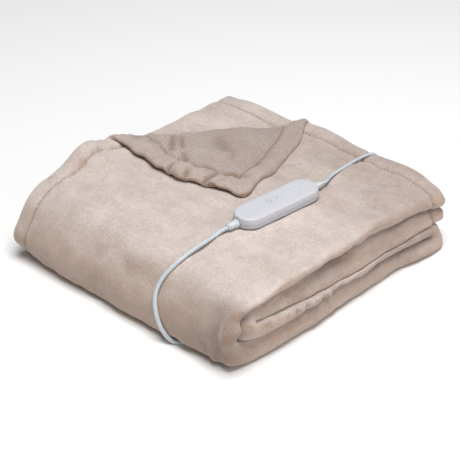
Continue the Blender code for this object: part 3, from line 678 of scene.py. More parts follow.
# the corner's fold line: its start, the way from it to the corner, and how far that is
foldStart = np.array((corner["along"], 0.0))
foldOut = np.array((-corner["across"], -corner["along"]))
foldOut /= math.hypot(corner["across"], corner["along"])
cornerDepth = -float(foldStart @ foldOut)


def beyondFold(s, t):
    return (s - foldStart[0]) * foldOut[0] + (t - foldStart[1]) * foldOut[1]


def onFlap(s, t):
    return (t < foldLength(layers[0], 0)) & (s < foldLength(runs[0], 0)) & (beyondFold(s, t) > 0)


def turnedBack(s, t, depth):
    # round the roll, then flat over the top layer
    out = beyondFold(s, t)
    turn = np.clip(out / corner["roll"], 0, math.pi)
    reach = (corner["roll"] - depth) * np.sin(turn)
    x = cloth["topEnd"] - (s - out * foldOut[0]) - reach * foldOut[0]
    y = cloth["halfWidth"] - (t - out * foldOut[1]) - reach * foldOut[1]
    z = corner["roll"] * (1 - np.cos(turn)) + depth * np.cos(turn)
    past = np.maximum(out - math.pi * corner["roll"], 0)
    footX = cloth["topEnd"] + cornerDepth * foldOut[0]
    footY = cloth["halfWidth"] + cornerDepth * foldOut[1]
    spread = cornerDepth - math.pi * corner["roll"]
    x = x + past * (corner["tip"][0] - footX) / spread
    y = y + past * (corner["tip"][1] - footY) / spread
    laid = smoothStep(0, corner["laid"], past)
    middle = corner["bowMiddle"]
    x = x - corner["sideBow"] * laid * hump(s - middle, np.where(s < middle, *corner["bowReach"]))
    x = x - corner["frill"] * laid * hump(t, corner["frillReach"]) * np.sin(s / corner["frillLength"])
    y = y - corner["endBow"] * laid * smoothStep(0.03, 0.07, t) * (1 - smoothStep(0.16, 0.20, t))
    z = z + laid * (corner["rest"] - 2 * corner["roll"])
    lifted = smoothStep(0.0, 0.03, s) * (1 - hump(s - 0.062, 0.014))
    z = z + laid * corner["edgeLift"] * hump(t, 0.020) * lifted
    thin = np.maximum(hump(s, 0.006) * smoothStep(0.01, 0.04, t), 0.35 * hump(t, 0.006))
    z = z - corner["thinEdge"] * laid * thin
    return x, y, z + cloth["bottom"] + 3 * cloth["run"] + cloth["pitch"]


# Where the folded cloth stands proud or sinks: X, Y, reach in X and in Y, change at the top
swells = (
    (0.238, -0.215, 0.055, 0.035, -0.011),
    (0.241, -0.080, 0.040, 0.070, -0.003),
    (-0.239, -0.150, 0.060, 0.110, -0.003),
    (-0.235, 0.235, 0.060, 0.050, -0.008),
    (-0.077, 0.235, 0.045, 0.050, 0.023),
    (0.226, 0.235, 0.070, 0.045, -0.004),
    (0.035, 0.240, 0.060, 0.050, 0.004),
    (0.235, 0.000, 0.030, 0.045, 0.004),
    (0.235, 0.130, 0.040, 0.060, 0.004),
    (0.085, 0.135, 0.062, 0.062, -0.0045),
    (0.172, 0.074, 0.040, 0.036, -0.0090),
    (-0.094, 0.150, 0.060, 0.050, 0.002),
    (0.010, -0.200, 0.120, 0.040, 0.002),
)
# The open side at -Y: where the gaps between the four runs lie, by X, from the lowest up, and how
# far each run stands back
sideGaps = {
    "fade": (0.012, 0.085),  # in from the edge, where the layers lie even again
    "gap": 0.0006,
    "x": (-0.215, -0.195, -0.170, -0.120, -0.060, 0.000, 0.050, 0.100, 0.150, 0.200, 0.235),
    "low": (0.050, 0.044, 0.039, 0.037, 0.0375, 0.037, 0.035, 0.032, 0.0275, 0.021, 0.018),
    "middle": (0.078, 0.075, 0.070, 0.062, 0.0545, 0.049, 0.049, 0.050, 0.050, 0.048, 0.047),
    "high": (0.096, 0.096, 0.094, 0.0895, 0.0915, 0.0895, 0.086, 0.083, 0.079, 0.074, 0.071),
}
wrap = {  # the big fold at -X
    "lip": ((-0.2365, 0.0), (-0.2101, -0.0125), (-0.170, -0.0080), (-0.090, 0.0)),  # X and shift
    "farCorner": 0.0060,  # how far it is drawn in
    "lean": 0.017,
    "bulge": 0.016,
    "lessNear": 0.010,  # less bulge at its two ends
    "lessFar": 0.015,
}
setBacks = (  # height, X, reach in each, set-back; below 0 stands proud
    (0.069, -0.060, 0.013, 0.200, 0.0085),
    (0.041, -0.110, 0.012, 0.130, -0.005),
    (0.0548, -0.060, 0.0080, 0.170, -0.0080),  # closes the gap between the second and third
    (0.0545, 0.135, 0.0085, 0.120, -0.0085),
    (0.0785, -0.024, 0.0060, 0.036, 0.024),  # the hollow between the first and second
    (0.012, -0.060, 0.014, 0.160, -0.002),
    (0.008, 0.205, 0.015, 0.055, -0.0145),
    (0.088, 0.238, 0.018, 0.035, -0.007),
    (0.105, 0.235, 0.020, 0.022, 0.002),
    (0.010, -0.225, 0.026, 0.055, 0.015),
)
hollow = {  # painted shade in the hollow between the first run and the second
    "x": -0.024,
    "reachX": 0.038,
    "below": 0.0070,  # the gap that sideGaps gives
    "reachZ": 0.0065,
    "until": -0.16,  # Y
    # how dark the painted shade is
    "depth": 2.0,
}
groove = {  # under the blanket, over the mains lead
    "line": ((-0.217, -0.118), (-0.190, -0.145), (0.232, -0.020)),
    "height": 0.0088,
    "reach": 0.026,
    "fade": 0.085,
}


def besideGroove(x, y):
    lines = zip(groove["line"], groove["line"][1:])
    return np.minimum.reduce([nearLine(x, y, *start, *end)[1] for start, end in lines])


def outsideCase(x, y):
    # distance from the hand controller's outline
    turn, (centreX, centreY) = math.radians(case["turn"]), case["centre"]
    dx, dy = x - centreX, y - centreY
    along = dx * math.cos(turn) + dy * math.sin(turn)
    across = dy * math.cos(turn) - dx * math.sin(turn)
    straight = np.maximum(np.abs(along) - (case["length"] - case["width"]) / 2, 0)
    return np.hypot(straight, across) - case["width"] / 2


def settle(x, y, z):
    # the stack settles as a whole, so no layer meets another
    x0, y0, z0 = x, y, z
    for atX, atY, reachX, reachY, change in swells:
        z = z + change * z0 / cloth["top"] * hump(x0 - atX, reachX) * hump(y0 - atY, reachY)
    side = 1 - smoothStep(*(fade - cloth["halfWidth"] for fade in sideGaps["fade"]), y0)
    for atZ, atX, reachZ, reachX, back in setBacks:
        y = y + back * side * hump(z0 - atZ, reachZ) * hump(x0 - atX, reachX)
    # the runs' heights there, and the wrap's lip, which is pressed thin
    levels = [0.0, *(cloth["run"] * i - sideGaps["gap"] for i in (1, 2, 3)), cloth["top"]]
    moved = [np.interp(x0, sideGaps["x"], sideGaps[name]) for name in ("low", "middle", "high")]
    moved = [0.0, *moved, cloth["top"]]
    for low, high, toLow, toHigh in zip(levels, levels[1:], moved, moved[1:]):
        here = (z0 > low) & (z0 <= high)
        share = (z0 - low) / (high - low)
        z = z + side * np.where(here, toLow + (toHigh - toLow) * share - z0, 0)
    x = x + side * np.interp(x0, *zip(*wrap["lip"]))
    cornerShare = hump(y0 + cloth["halfWidth"], 0.030) * smoothStep(0.08, 0.10, z0)
    x = x - cloth["nearCorner"] * cornerShare * smoothStep(0.17, cloth["topEnd"], x)
    y = y - wrap["farCorner"] * smoothStep(0.12, 0.226, y0) * (1 - smoothStep(-0.135, -0.085, x0))
    # the wrap leans in towards the top and bulges at the floor, less so at its two ends
    nearWrap = 1 - smoothStep(-0.215, -0.125, x0)
    lean = wrap["lean"] * smoothStep(0.030, 0.085, z0)
    less = wrap["lessNear"] * hump(y0 + cloth["halfWidth"], 0.080)
    less = less + wrap["lessFar"] * hump(y0 - 0.235, 0.050)
    x = x + nearWrap * (lean - (wrap["bulge"] - less) * hump(z0 - 0.006, 0.014))
    lift = groove["height"] * (1 - smoothStep(0.002, groove["reach"], besideGroove(x, y0)))
    lift = lift * smoothStep(cloth["wrapOut"], cloth["wrapOut"] + 0.016, x)
    return x, y, z + lift * np.maximum(0, 1 - z0 / groove["fade"])


# Creases and ridges: start and end on the face, width, height. The top's are X, Y, the wrap's
# Y, Z and the side's X, Z
topCreases = (
    (-0.150, 0.226, -0.060, 0.206, 0.012, 0.0012),
    (-0.066, 0.240, -0.050, 0.210, 0.006, -0.0022),
    (-0.034, 0.236, -0.040, 0.214, 0.006, -0.0016),
    (0.195, -0.050, 0.226, -0.088, 0.007, 0.0016),
    (0.185, -0.105, 0.214, -0.108, 0.006, 0.0014),
    (0.190, -0.118, 0.215, -0.128, 0.006, -0.0010),
    (-0.170, -0.190, -0.060, -0.160, 0.016, 0.0008),
    (0.060, -0.190, 0.190, -0.175, 0.018, 0.0009),
    (0.080, -0.035, 0.190, -0.012, 0.014, -0.0008),
    (-0.190, 0.080, -0.130, 0.150, 0.014, 0.0009),
    (0.200, 0.020, 0.130, 0.012, 0.014, -0.0040),
    (0.175, -0.0895, 0.275, -0.0908, 0.0080, -0.0046),  # the hem gives way under the lead
    (0.120, 0.015, 0.080, 0.000, 0.012, -0.0025),
)
flapCreases = (
    (0.047, 0.160, 0.006, 0.124, 0.0048, -0.0042),  # down from the roll
    (0.036, 0.170, -0.002, 0.134, 0.0080, 0.0034),
    (0.055, 0.150, 0.026, 0.115, 0.0048, -0.0036),
    (0.026, 0.115, -0.008, 0.079, 0.0048, -0.0042),
    (0.060, 0.138, 0.012, 0.086, 0.0100, 0.0034),
    (-0.003, 0.200, 0.003, 0.176, 0.0045, -0.0022),
    (0.003, 0.176, -0.006, 0.136, 0.0045, -0.0022),
    (0.000, 0.165, -0.030, 0.135, 0.0070, 0.0030),
    (-0.040, 0.085, -0.023, 0.094, 0.0042, -0.0044),  # across the side hem
    (-0.040, 0.098, -0.026, 0.104, 0.0070, 0.0024),
    (-0.036, 0.054, -0.018, 0.066, 0.0042, -0.0042),
    (-0.040, 0.072, -0.020, 0.078, 0.0070, 0.0024),
    (-0.030, 0.022, -0.014, 0.028, 0.0042, -0.0056),
    (-0.018, 0.028, 0.003, 0.027, 0.0042, -0.0052),
    (-0.001, 0.027, 0.015, 0.020, 0.0042, -0.0044),
    (-0.032, 0.010, -0.004, 0.018, 0.0075, 0.0060),
    (-0.006, 0.019, 0.010, 0.011, 0.0065, 0.0040),
    (-0.006, 0.006, 0.013, 0.016, 0.0040, -0.0036),
    (0.002, 0.002, 0.016, 0.004, 0.0060, 0.0022),
    (0.007, 0.038, 0.033, -0.014, 0.0042, -0.0030),  # along it
    (0.110, 0.050, 0.160, 0.030, 0.0090, 0.0028),
    (0.060, 0.050, 0.030, 0.080, 0.0120, 0.0032),
    (0.090, 0.110, 0.050, 0.040, 0.0140, -0.0020),
)
wrapCreases = (
    (-0.196, 0.004, -0.194, 0.090, 0.0065, -0.0036),
    (-0.210, 0.006, -0.210, 0.104, 0.0085, 0.0046),
    (-0.185, 0.006, -0.178, 0.048, 0.0060, 0.0022),
    (-0.192, 0.008, -0.186, 0.030, 0.0042, -0.0030),
    (-0.176, 0.012, -0.168, 0.040, 0.0050, -0.0018),
    (-0.150, 0.004, -0.120, 0.022, 0.0070, 0.0016),
    (-0.020, 0.045, 0.080, 0.060, 0.0160, -0.0014),
    (0.060, 0.025, 0.150, 0.040, 0.0140, 0.0014),
)
sideCreases = (
    (0.170, 0.024, 0.215, 0.030, 0.0040, -0.0030),
    (0.180, 0.016, 0.220, 0.016, 0.0040, 0.0016),
    (-0.150, 0.085, -0.060, 0.080, 0.0080, -0.0016),
    (0.020, 0.075, 0.120, 0.066, 0.0070, 0.0018),
)


# soft unevenness: height, size and seed of each noise, and how tight it is along the second axis
unevenness = {
    "top": ((0.0011, 0.085, 3, 1), (0.00045, 0.036, 4, 1)),
    "flap": ((0.0007, 0.026, 8, 1),),
    "wrap": ((0.0010, 0.070, 5, 1), (0.0004, 0.030, 6, 1)),
    "rumple": ((0.0008, 0.011, 13, 0.6),),
    "side": ((0.0010, 0.080, 7, 3), (0.0007, 0.026, 9, 2)),
    "gather": ((0.0024, 0.017, 12, 0.35),),
}


def uneven(name, u, v):
    rows = unevenness[name]
    return sum(height * softNoise(u, tight * v, size, seed) for height, size, seed, tight in rows)


def dress(x, y, z, flap):
    # the soft unevenness and the creases, as shears that keep the layers apart
    x0, y0, z0 = x, y, z
    high = smoothStep(cloth["top"] - 0.050, cloth["top"] - 0.006, z0)
    # the pile is banked up round the controller, and flat under it
    away = outsideCase(x0, y0)
    banked = cloth["bank"] * smoothStep(-0.003, 0.001, away) * (1 - smoothStep(0.003, 0.016, away))
    sink = uneven("top", x0, y0) * smoothStep(-0.004, 0.02, away)
    z = z + high * (sink + creases(topCreases, x0, y0) + banked)
    folds = creases(flapCreases, x0, y0) + uneven("flap", x0, y0)
    z = z + np.where(flap, folds * smoothStep(cloth["top"], cloth["top"] + 0.005, z0), 0)
    near = 1 - smoothStep(-0.224, -0.180, x0)
    rumpled = uneven("rumple", y0, z0) * hump(y0 + 0.182, 0.026) * hump(z0 - 0.026, 0.028)
    x = x - near * (uneven("wrap", y0, z0) + rumpled + creases(wrapCreases, y0, z0))
    front = 1 - smoothStep(-0.222, -0.185, y0)
    # the second run up is gathered under its crease
    under = hump(z0 - np.interp(x0, sideGaps["x"], sideGaps["middle"]) + 0.007, 0.007)
    gathered = under * smoothStep(-0.215, -0.19, x0) * (1 - smoothStep(-0.02, 0.05, x0))
    push = uneven("side", x0, z0) + gathered * uneven("gather", x0, z0)
    y = y - front * (push + creases(sideCreases, x0, z0))
    return x, y, np.maximum(z, 0.0)


def roundCorners(s, t):
    # the square grid drawn in to a cloth with round corners
    radius = cloth["cornerRadius"]
    a = np.maximum(radius - np.minimum(s, clothLength - s), 0)
    b = np.maximum(radius - np.minimum(t, clothWidth - t), 0)
    inS = a * (1 - np.sqrt(1 - b**2 / (2 * radius**2)))
    inT = b * (1 - np.sqrt(1 - a**2 / (2 * radius**2)))
    return s + np.where(s < clothLength / 2, inS, -inS), t + np.where(t < clothWidth / 2, inT, -inT)


def edgeDistance(s, t):
    return np.minimum(np.minimum(s, clothLength - s), np.minimum(t, clothWidth - t))


def halfThickness(s, t):
    edge = edgeDistance(s, t)
    rounded = np.sqrt(np.clip(1 - (1 - np.minimum(edge / cloth["edge"], 1)) ** 2, 0, 1))
    seam = hump(edge - cloth["hem"], cloth["seamReach"])
    puff = 1 + cloth["hemPuff"] * np.sin(np.pi * np.clip(edge / cloth["hem"], 0, 1))
    return cloth["thickness"] / 2 * rounded * puff * (1 - cloth["seamPinch"] * seam)


def clothPoint(s, t, depth):
    # the hem puckers along its seam, and swells where nothing lies on it
    edge = edgeDistance(s, t)
    flap = onFlap(s, t)
    pucker = np.where(flap, cloth["flapPucker"], cloth["pucker"]) * hump(edge - cloth["hem"], 0.012)
    topRun = (s < foldLength(runs[0], 0)) & (t < cloth["hemOpen"])
    outside = np.where(flap, depth < 0, (depth > 0) & topRun)
    swell = cloth["hemSwell"] * np.sin(np.pi * np.clip(edge / cloth["hem"], 0, 1))
    swell = swell + pucker * softNoise(s, t, 0.017, 11)
    depth = depth + np.where(outside, np.sign(depth) * swell * smoothStep(0, 0.006, edge), 0)
    s, t = roundCorners(s, t)
    y, w = fold(layers, cloth["pitch"], t, depth)
    x, z = fold(runs, cloth["run"], s, w)
    fx, fy, fz = turnedBack(s, t, depth)
    x, y, z = np.where(flap, fx, x), np.where(flap, fy, y), np.where(flap, fz, z + cloth["bottom"])
    return dress(*settle(x, y, z), flap)


def gridLines(rows, step, sizes):
    lines, begin = [], 0.0
    for row in rows:
        length = foldLength(row, step)
        at, most = begin, length / 8 if row[0] else 1.0
        begin += length
        while at < begin - 0.0005:
            lines.append(at)
            at += min(most, next(size for until, size in sizes if at <= until))
    # finer at the edge and on both sides of the seam
    hem = cloth["hem"]
    hemLines = [0, 0.0003, 0.0011, 0.0024, cloth["edge"], 0.011, 0.018]
    hemLines += [hem + d for d in (-0.006, -0.0032, -0.0014, 0, 0.0014, 0.0032, 0.006)]
    clear = hem + 0.009
    inside = [d for d in lines if clear < d < begin - clear]
    return np.array([*hemLines, *inside, *(begin - d for d in reversed(hemLines))])


def makeBlanket(material):
    rows = gridLines(runs, cloth["run"], cloth["rowSteps"])
    columns = gridLines(layers, cloth["pitch"], cloth["columnSteps"])
    s, t = (grid.ravel() for grid in np.meshgrid(rows, columns, indexing="ij"))
    half = halfThickness(s, t)
    count, across = len(s), len(columns)
    face = np.stack(clothPoint(s, t, half), 1)
    rim = edgeDistance(s, t) <= 0
    back = np.stack(clothPoint(s[~rim], t[~rim], -half[~rim]), 1)
    backIndex = np.arange(count)
    backIndex[~rim] = count + np.arange(len(back))
    corners = (np.arange(len(rows) - 1)[:, None] * across + np.arange(across - 1)[None, :]).ravel()
    quads = np.stack([corners, corners + across, corners + across + 1, corners + 1], 1)
    verts = np.concatenate([face, back])
    faces = np.concatenate([quads, backIndex[quads[:, ::-1]]])
    mesh = bpy.data.meshes.new("blanket")
    mesh.from_pydata(verts.tolist(), [], faces.tolist())
    flatS, flatT = np.concatenate([s, s[~rim]]), np.concatenate([t, t[~rim]])
    loops = np.empty(len(mesh.loops), dtype=np.int32)
    mesh.loops.foreach_get("vertex_index", loops)
    layer = mesh.uv_layers.new(name="flatCloth")
    layer.data.foreach_set("uv", np.stack([flatS[loops], flatT[loops]], 1).ravel())
    triangles = [verts[faces[:, picked]] for picked in ([0, 1, 2], [0, 2, 3])]
    volume = sum(np.einsum("ij,ij->", p[:, 0], np.cross(p[:, 1], p[:, 2])) / 6 for p in triangles)
    if volume < 0:
        mesh.flip_normals()
    onBack = np.concatenate([np.zeros(count), np.ones(len(back))])
    for name, values in paintedCloth(mesh, verts, flatS, flatT, onBack).items():
        mesh.attributes.new(name, "FLOAT", "POINT").data.foreach_set("value", values)
    obj = addPiece("foldedBlanket", mesh, material)
    print(f"blanket: {len(faces) * 2} triangles, {clothWidth:.3f} x {clothLength:.3f} m, {volume:.4f} m3")
    return obj


def paintedCloth(mesh, verts, flatS, flatT, onBack):
    # for each vertex, how much it is reverse, ribbed and facing upward, and how much painted shade it takes
    inner = smoothStep(cloth["hem"] - 0.001, cloth["hem"] + 0.001, edgeDistance(flatS, flatT))
    # painted light: how far a face turns upward, which gives it the lit top tones
    normals = np.empty(len(verts) * 3)
    mesh.vertex_normals.foreach_get("vector", normals)
    upward = smoothStep(0.30, 0.90, normals[2::3])
    # painted shade in a seam, in a crease and in the hollow
    creased = np.clip(-creases(flapCreases, verts[:, 0], verts[:, 1]) / 0.0028, 0, 1)
    seam = 0.6 * hump(edgeDistance(flatS, flatT) - cloth["hem"], 0.0026)
    deepAndShade = np.maximum(seam, onFlap(flatS, flatT) * creased)
    x, y, z = verts.T
    above = z - np.interp(x, sideGaps["x"], sideGaps["high"]) + hollow["below"]
    dark = hump(above, hollow["reachZ"]) * hump(x - hollow["x"], hollow["reachX"])
    deepAndShade = np.maximum(deepAndShade, hollow["depth"] * dark * (y < hollow["until"]))
    return {"reverse": onBack, "ribbed": onBack * (0.4 + 0.6 * inner), "upward": upward, "deepAndShade": deepAndShade}


stitch = {"pitch": 0.0060, "length": 0.0040, "radius": 0.0005, "above": 0.0001, "step": 0.003}


def seamLine(side):
    # the seam's line on one side of the cloth, all the way round
    hem, farS, farT = cloth["hem"], clothLength - cloth["hem"], clothWidth - cloth["hem"]
    corners = [(hem, hem), (farS, hem), (farS, farT), (hem, farT)]
    s, t = [], []
    for (s0, t0), (s1, t1) in zip(corners, corners[1:] + corners[:1]):
        count = round(math.hypot(s1 - s0, t1 - t0) / stitch["step"])
        s += list(np.linspace(s0, s1, count, endpoint=False))
        t += list(np.linspace(t0, t1, count, endpoint=False))
    s, t = np.array(s), np.array(t)
    line = np.stack(clothPoint(s, t, side * (halfThickness(s, t) + stitch["above"])), 1)
    line[:, 2] = np.maximum(line[:, 2], stitch["radius"])
    return line


def stitchTree(material):
    tree = bpy.data.node_groups.new("seamStitches", "GeometryNodeTree")
    face = tree.interface
    face.new_socket("Geometry", in_out="INPUT", socket_type="NodeSocketGeometry")
    for name in ("Pitch", "Length", "Radius"):
        face.new_socket(name, in_out="INPUT", socket_type="NodeSocketFloat")
    face.new_socket("Geometry", in_out="OUTPUT", socket_type="NodeSocketGeometry")
    given = addNode(tree, "NodeGroupInput").outputs
    line = addNode(tree, "GeometryNodeMeshToCurve", {"Mesh": given["Geometry"]})
    inputs = {"Curve": line.outputs["Curve"], "Length": given["Pitch"]}
    spaced = addNode(tree, "GeometryNodeResampleCurve", inputs, mode="LENGTH")
    bead = addNode(tree, "GeometryNodeMeshUVSphere", {"Segments": 6, "Rings": 5, "Radius": 1.0})
    heading = addNode(tree, "GeometryNodeInputTangent").outputs["Tangent"]
    turned = addNode(tree, "FunctionNodeAlignRotationToVector", {"Vector": heading}, axis="Z")
    half = addNode(tree, "ShaderNodeMath", {0: given["Length"], 1: 0.5}, operation="MULTIPLY")
    inputs = {"X": given["Radius"], "Y": given["Radius"], "Z": half.outputs["Value"]}
    size = addNode(tree, "ShaderNodeCombineXYZ", inputs)
    inputs = {"Points": spaced.outputs["Curve"], "Instance": bead.outputs["Mesh"]}
    inputs.update({"Rotation": turned.outputs["Rotation"], "Scale": size.outputs["Vector"]})
    placed = addNode(tree, "GeometryNodeInstanceOnPoints", inputs)
    real = addNode(tree, "GeometryNodeRealizeInstances", {"Geometry": placed.outputs["Instances"]})
    inputs = {"Geometry": real.outputs["Geometry"], "Material": material}
    finished = addNode(tree, "GeometryNodeSetMaterial", inputs)
    addNode(tree, "NodeGroupOutput", {"Geometry": finished.outputs["Geometry"]})
    return tree


def makeStitches(material):
    verts, edges = [], []
    for side in (1, -1):
        line = seamLine(side)
        first, count = len(verts), len(line)
        verts += line.tolist()
        edges += [(first + i, first + (i + 1) % count) for i in range(count)]
    mesh = bpy.data.meshes.new("seam")
    mesh.from_pydata(verts, edges, [])
    guide = bpy.data.objects.new("seam", mesh)
    tree = stitchTree(material)
    modifier = guide.modifiers.new("Stitches", "NODES")
    modifier.node_group = tree
    sockets = {item.name: item.identifier for item in tree.interface.items_tree if item.in_out == "INPUT"}
    for name in ("Pitch", "Length", "Radius"):
        modifier[sockets[name]] = stitch[name.lower()]
    done = bakedMesh(guide)
    print(f"stitches: {len(done.polygons)} faces")
    return addPiece("hemStitches", done, material)


def stadium(inset, steps=9):
    # the case's outline, drawn in by inset: straight sides and round ends, each cut flat at its tip
    radius = case["width"] / 2 - inset
    length = case["length"] / 2 - inset
    tip = math.asin(case["endFlat"] / case["width"])
    points = []
    for side in (1, -1):
        for i in range(2 * steps + 2):
            half, step = divmod(i, steps + 1)
            sweep = (math.pi / 2 - tip) * step / steps
            angle = math.pi / 2 - sweep if half == 0 else -tip - sweep
            reach = length - radius + radius * math.cos(angle)
            points.append((side * reach, side * radius * math.sin(angle)))
    return points


lowerProfile = (  # how far in from the outline, and height
    (0.0090, 0.0), (0.0046, 0.0), (0.0028, 0.0003), (0.0013, 0.0011), (0.0004, 0.0025), (0.0, 0.0044),
    (0.0, 0.0068), (0.0003, 0.0072), (0.0012, 0.0073), (0.0080, 0.0073),
)
upperProfile = (
    (0.0080, 0.0076), (0.0012, 0.0076), (0.0003, 0.0077), (0.0, 0.0081), (0.0003, 0.0110),
    (0.0009, 0.0145), (0.0013, 0.0158), (0.0019, 0.0168), (0.0027, 0.0174), (0.0035, 0.0176),
    (0.0040, 0.0176), (0.0044, 0.01775), (0.0054, 0.0179), (0.0070, 0.0180), (0.0120, 0.0180),
    (0.0200, 0.0180),
)


def caseRings(profile):
    return [[onCase(x, y, height) for x, y in stadium(inset)] for inset, height in profile]


marks = {
    "ring": (-0.0128, 0.0015, 0.0035),  # along, across and radius
    "ringArc": range(125, 416, 10),  # degrees, open at its top
    "level": (0.0028, 0.0020),  # two wavy lines
    "ticks": ((-0.0170, 0.0055), (-0.0015, 0.0065), (0.0079, -0.0024), (-0.0046, -0.0016)),
    "width": 0.00075,
    "flat": 0.12,  # a line's height as a share of its width
    "lights": (0.0242, 0.0342, 0.0442, 0.0542),
    "lightsAcross": 0.0036,
    "numeral": (-0.0028, 0.0030),  # from its light
    "numeralSize": 0.0036,
    "ink": 0.00003,  # half its thickness
}


def printedLine(points):
    # a flat line on the case's top, from points along and across it
    curve = roundCurve("mark", [onCase(x, y, caseTop) for x, y in points], marks["width"], 2)
    mesh = bakedMesh(bpy.data.objects.new("mark", curve))
    top = case["seat"] + caseTop
    for vert in mesh.vertices:
        vert.co.z = top + (vert.co.z - top) * marks["flat"]
    return mesh


def numeral(text, along, across):
    curve = bpy.data.curves.new("numeral", "FONT")
    curve.body, curve.size, curve.extrude = text, marks["numeralSize"], marks["ink"]
    curve.align_x, curve.align_y = "CENTER", "CENTER"
    curve.resolution_u = 3
    mesh = bakedMesh(bpy.data.objects.new("numeral", curve))
    mesh.transform(caseSeat @ Matrix.Translation((along, across, caseTop)))
    return mesh


def makeMarks(material):
    x, y, radius = marks["ring"]
    arc = [math.radians(a) for a in marks["ringArc"]]
    lines = [[(x + radius * math.cos(a), y + radius * math.sin(a)) for a in arc]]
    lines.append([(x, y + radius * 0.35), (x, y + radius * 1.15)])
    x, y = marks["level"]
    for rise in (-0.0008, 0.0008):
        lines.append([(x - 0.0026 + 0.0006 * i, y + rise + 0.0004 * math.sin(i * 1.3)) for i in range(9)])
    for x, y in marks["ticks"]:
        lines.append([(x - 0.0005, y - 0.0004), (x + 0.0005, y + 0.0004)])
    bm = bmesh.new()
    for points in lines:
        bm.from_mesh(printedLine(points))
    for number, along in enumerate(marks["lights"], 1):
        right, up = marks["numeral"]
        bm.from_mesh(numeral(str(number), along + right, marks["lightsAcross"] + up))
    return addPiece("printedMarks", meshFrom(bm, "printedMarks"), material, smooth=False)


lightProfile = ((0.0014, -0.0006), (0.0014, 0.0), (0.0011, 0.0002), (0.0005, 0.0003))


def makeController(materials):
    lower = shell("caseLower", caseRings(lowerProfile), materials["abs"], case["sharp"])
    upper = shell("caseUpper", caseRings(upperProfile), materials["abs"], case["sharp"])
    lights = []
    for number, along in enumerate(marks["lights"], 1):
        place = Matrix.Translation(onCase(along, marks["lightsAcross"], caseTop))
        lights.append(spun(f"levelLight{number}", lightProfile, 16, place, materials["lens"]))
    printed = makeMarks(materials["ink"])
    print("controller: two halves, four lights and printed marks")
    return lower, upper, lights, printed


reliefs = {
    "gap": 0.0003,  # from the case's end
    # radius and height of a collar, a plain sleeve, a groove and an end ring
    "mains": (
        (0.0060, 0.0), (0.0066, 0.0004), (0.0066, 0.0034), (0.0061, 0.0040), (0.0057, 0.0042),
        (0.0057, 0.0066), (0.0054, 0.0070), (0.0052, 0.0144), (0.0051, 0.0147), (0.0042, 0.0148),
        (0.0042, 0.0156), (0.0050, 0.0158), (0.0049, 0.0175), (0.0044, 0.0180), (0.0033, 0.0180),
    ),
    # along, width and height of a stepped block
    "control": (
        (0.0, 0.0116, 0.0092), (0.0032, 0.0114, 0.0091), (0.0036, 0.0100, 0.0082),
        (0.0042, 0.0100, 0.0082), (0.0046, 0.0108, 0.0087), (0.0072, 0.0102, 0.0084),
        (0.0076, 0.0088, 0.0074), (0.0082, 0.0088, 0.0074), (0.0086, 0.0096, 0.0079),
        (0.0112, 0.0084, 0.0073), (0.0140, 0.0070, 0.0066),
    ),
}


def makeReliefs(material):
    end = case["length"] / 2 + reliefs["gap"]
    place = caseSeat @ Matrix.Translation((-end, 0, case["exit"])) @ Matrix.Rotation(-math.pi / 2, 4, "Y")
    sleeve = spun("mainsRelief", reliefs["mains"], 28, place, material, case["sharp"])
    place = caseSeat @ Matrix.Translation((end, 0, case["exit"]))
    rings = []
    for along, wide, tall in reliefs["control"]:
        ring = []
        for i in range(20):
            across, up = math.cos(2 * math.pi * i / 20), math.sin(2 * math.pi * i / 20)
            squared = (abs(across) ** 4 + abs(up) ** 4) ** -0.25
            ring.append(place @ Vector((along, wide / 2 * across * squared, tall / 2 * up * squared)))
        rings.append(ring)
    block = shell("controlRelief", rings, material, case["sharp"])
    return sleeve, block


def makePlug(materials):
    half, neck, length, thick = plug["width"] / 2, plug["neck"] / 2, plug["length"], plug["thick"]
    outline = []
    for share in np.arange(17) / 16:
        outline.append((neck + (half - neck) * float(smoothStep(-0.25, 0.85, share)), length * share))
    outline += [(-x, y) for x, y in reversed(outline)]
    edges = [*plug["edges"], *((inset, thick - height) for inset, height in reversed(plug["edges"]))]
    rings = []
    for inset, height in edges:
        ring = []
        for x, y in outline:
            inX = max(0.0, abs(x) - inset)
            inY = min(max(y, inset * 0.8), length - inset * 0.4)
            ring.append(plugSeat @ Vector((math.copysign(inX, x), inY, height)))
        rings.append(ring)
    body = shell("plugBody", rings, materials["moulding"], plug["sharp"])
    middle = plugSeat @ Matrix.Translation((0, 0, thick / 2))
    lengthways = Matrix.Rotation(-math.pi / 2, 4, "X")
    profile = [(0.0034, -0.0200), (0.0041, -0.0196)]
    for i in range(7):
        at, wide = -0.0190 + 0.0026 * i, 0.0042 + 0.00018 * i
        profile += [(wide, at), (wide + 0.0001, at + 0.0016)]
        profile += [(wide - 0.0007, at + 0.0018), (wide - 0.0007, at + 0.0023)]
    profile += [(0.0055, -0.0005), (0.0055, 0.0015)]
    sleeve = spun("plugSleeve", profile, 24, middle @ lengthways, materials["moulding"], case["sharp"])
    radius, tip = plug["pinRadius"], length + plug["pinLength"]
    profile = [(radius, length + 0.0003), (radius, tip - 0.0016)]
    profile += [(radius * 0.9, tip - 0.0006), (radius * 0.55, tip + 0.0003)]
    pins = []
    for name, side in (("plugPinLeft", -1), ("plugPinRight", 1)):
        place = middle @ Matrix.Translation((side * plug["pinApart"] / 2, 0, 0)) @ lengthways
        pins.append(spun(name, profile, 20, place, materials["nickel"]))
    print("plug: body, ribbed sleeve and two pins")
    return body, sleeve, pins


socket = {
    "size": (0.018, 0.026, 0.0110),
    "place": (0.2311, -0.052, 0.0624),
    "edge": 0.0018,
    "border": (0.0022, -0.0005),  # round its sunk faces: width and depth
    "sleeve": 0.010,
}


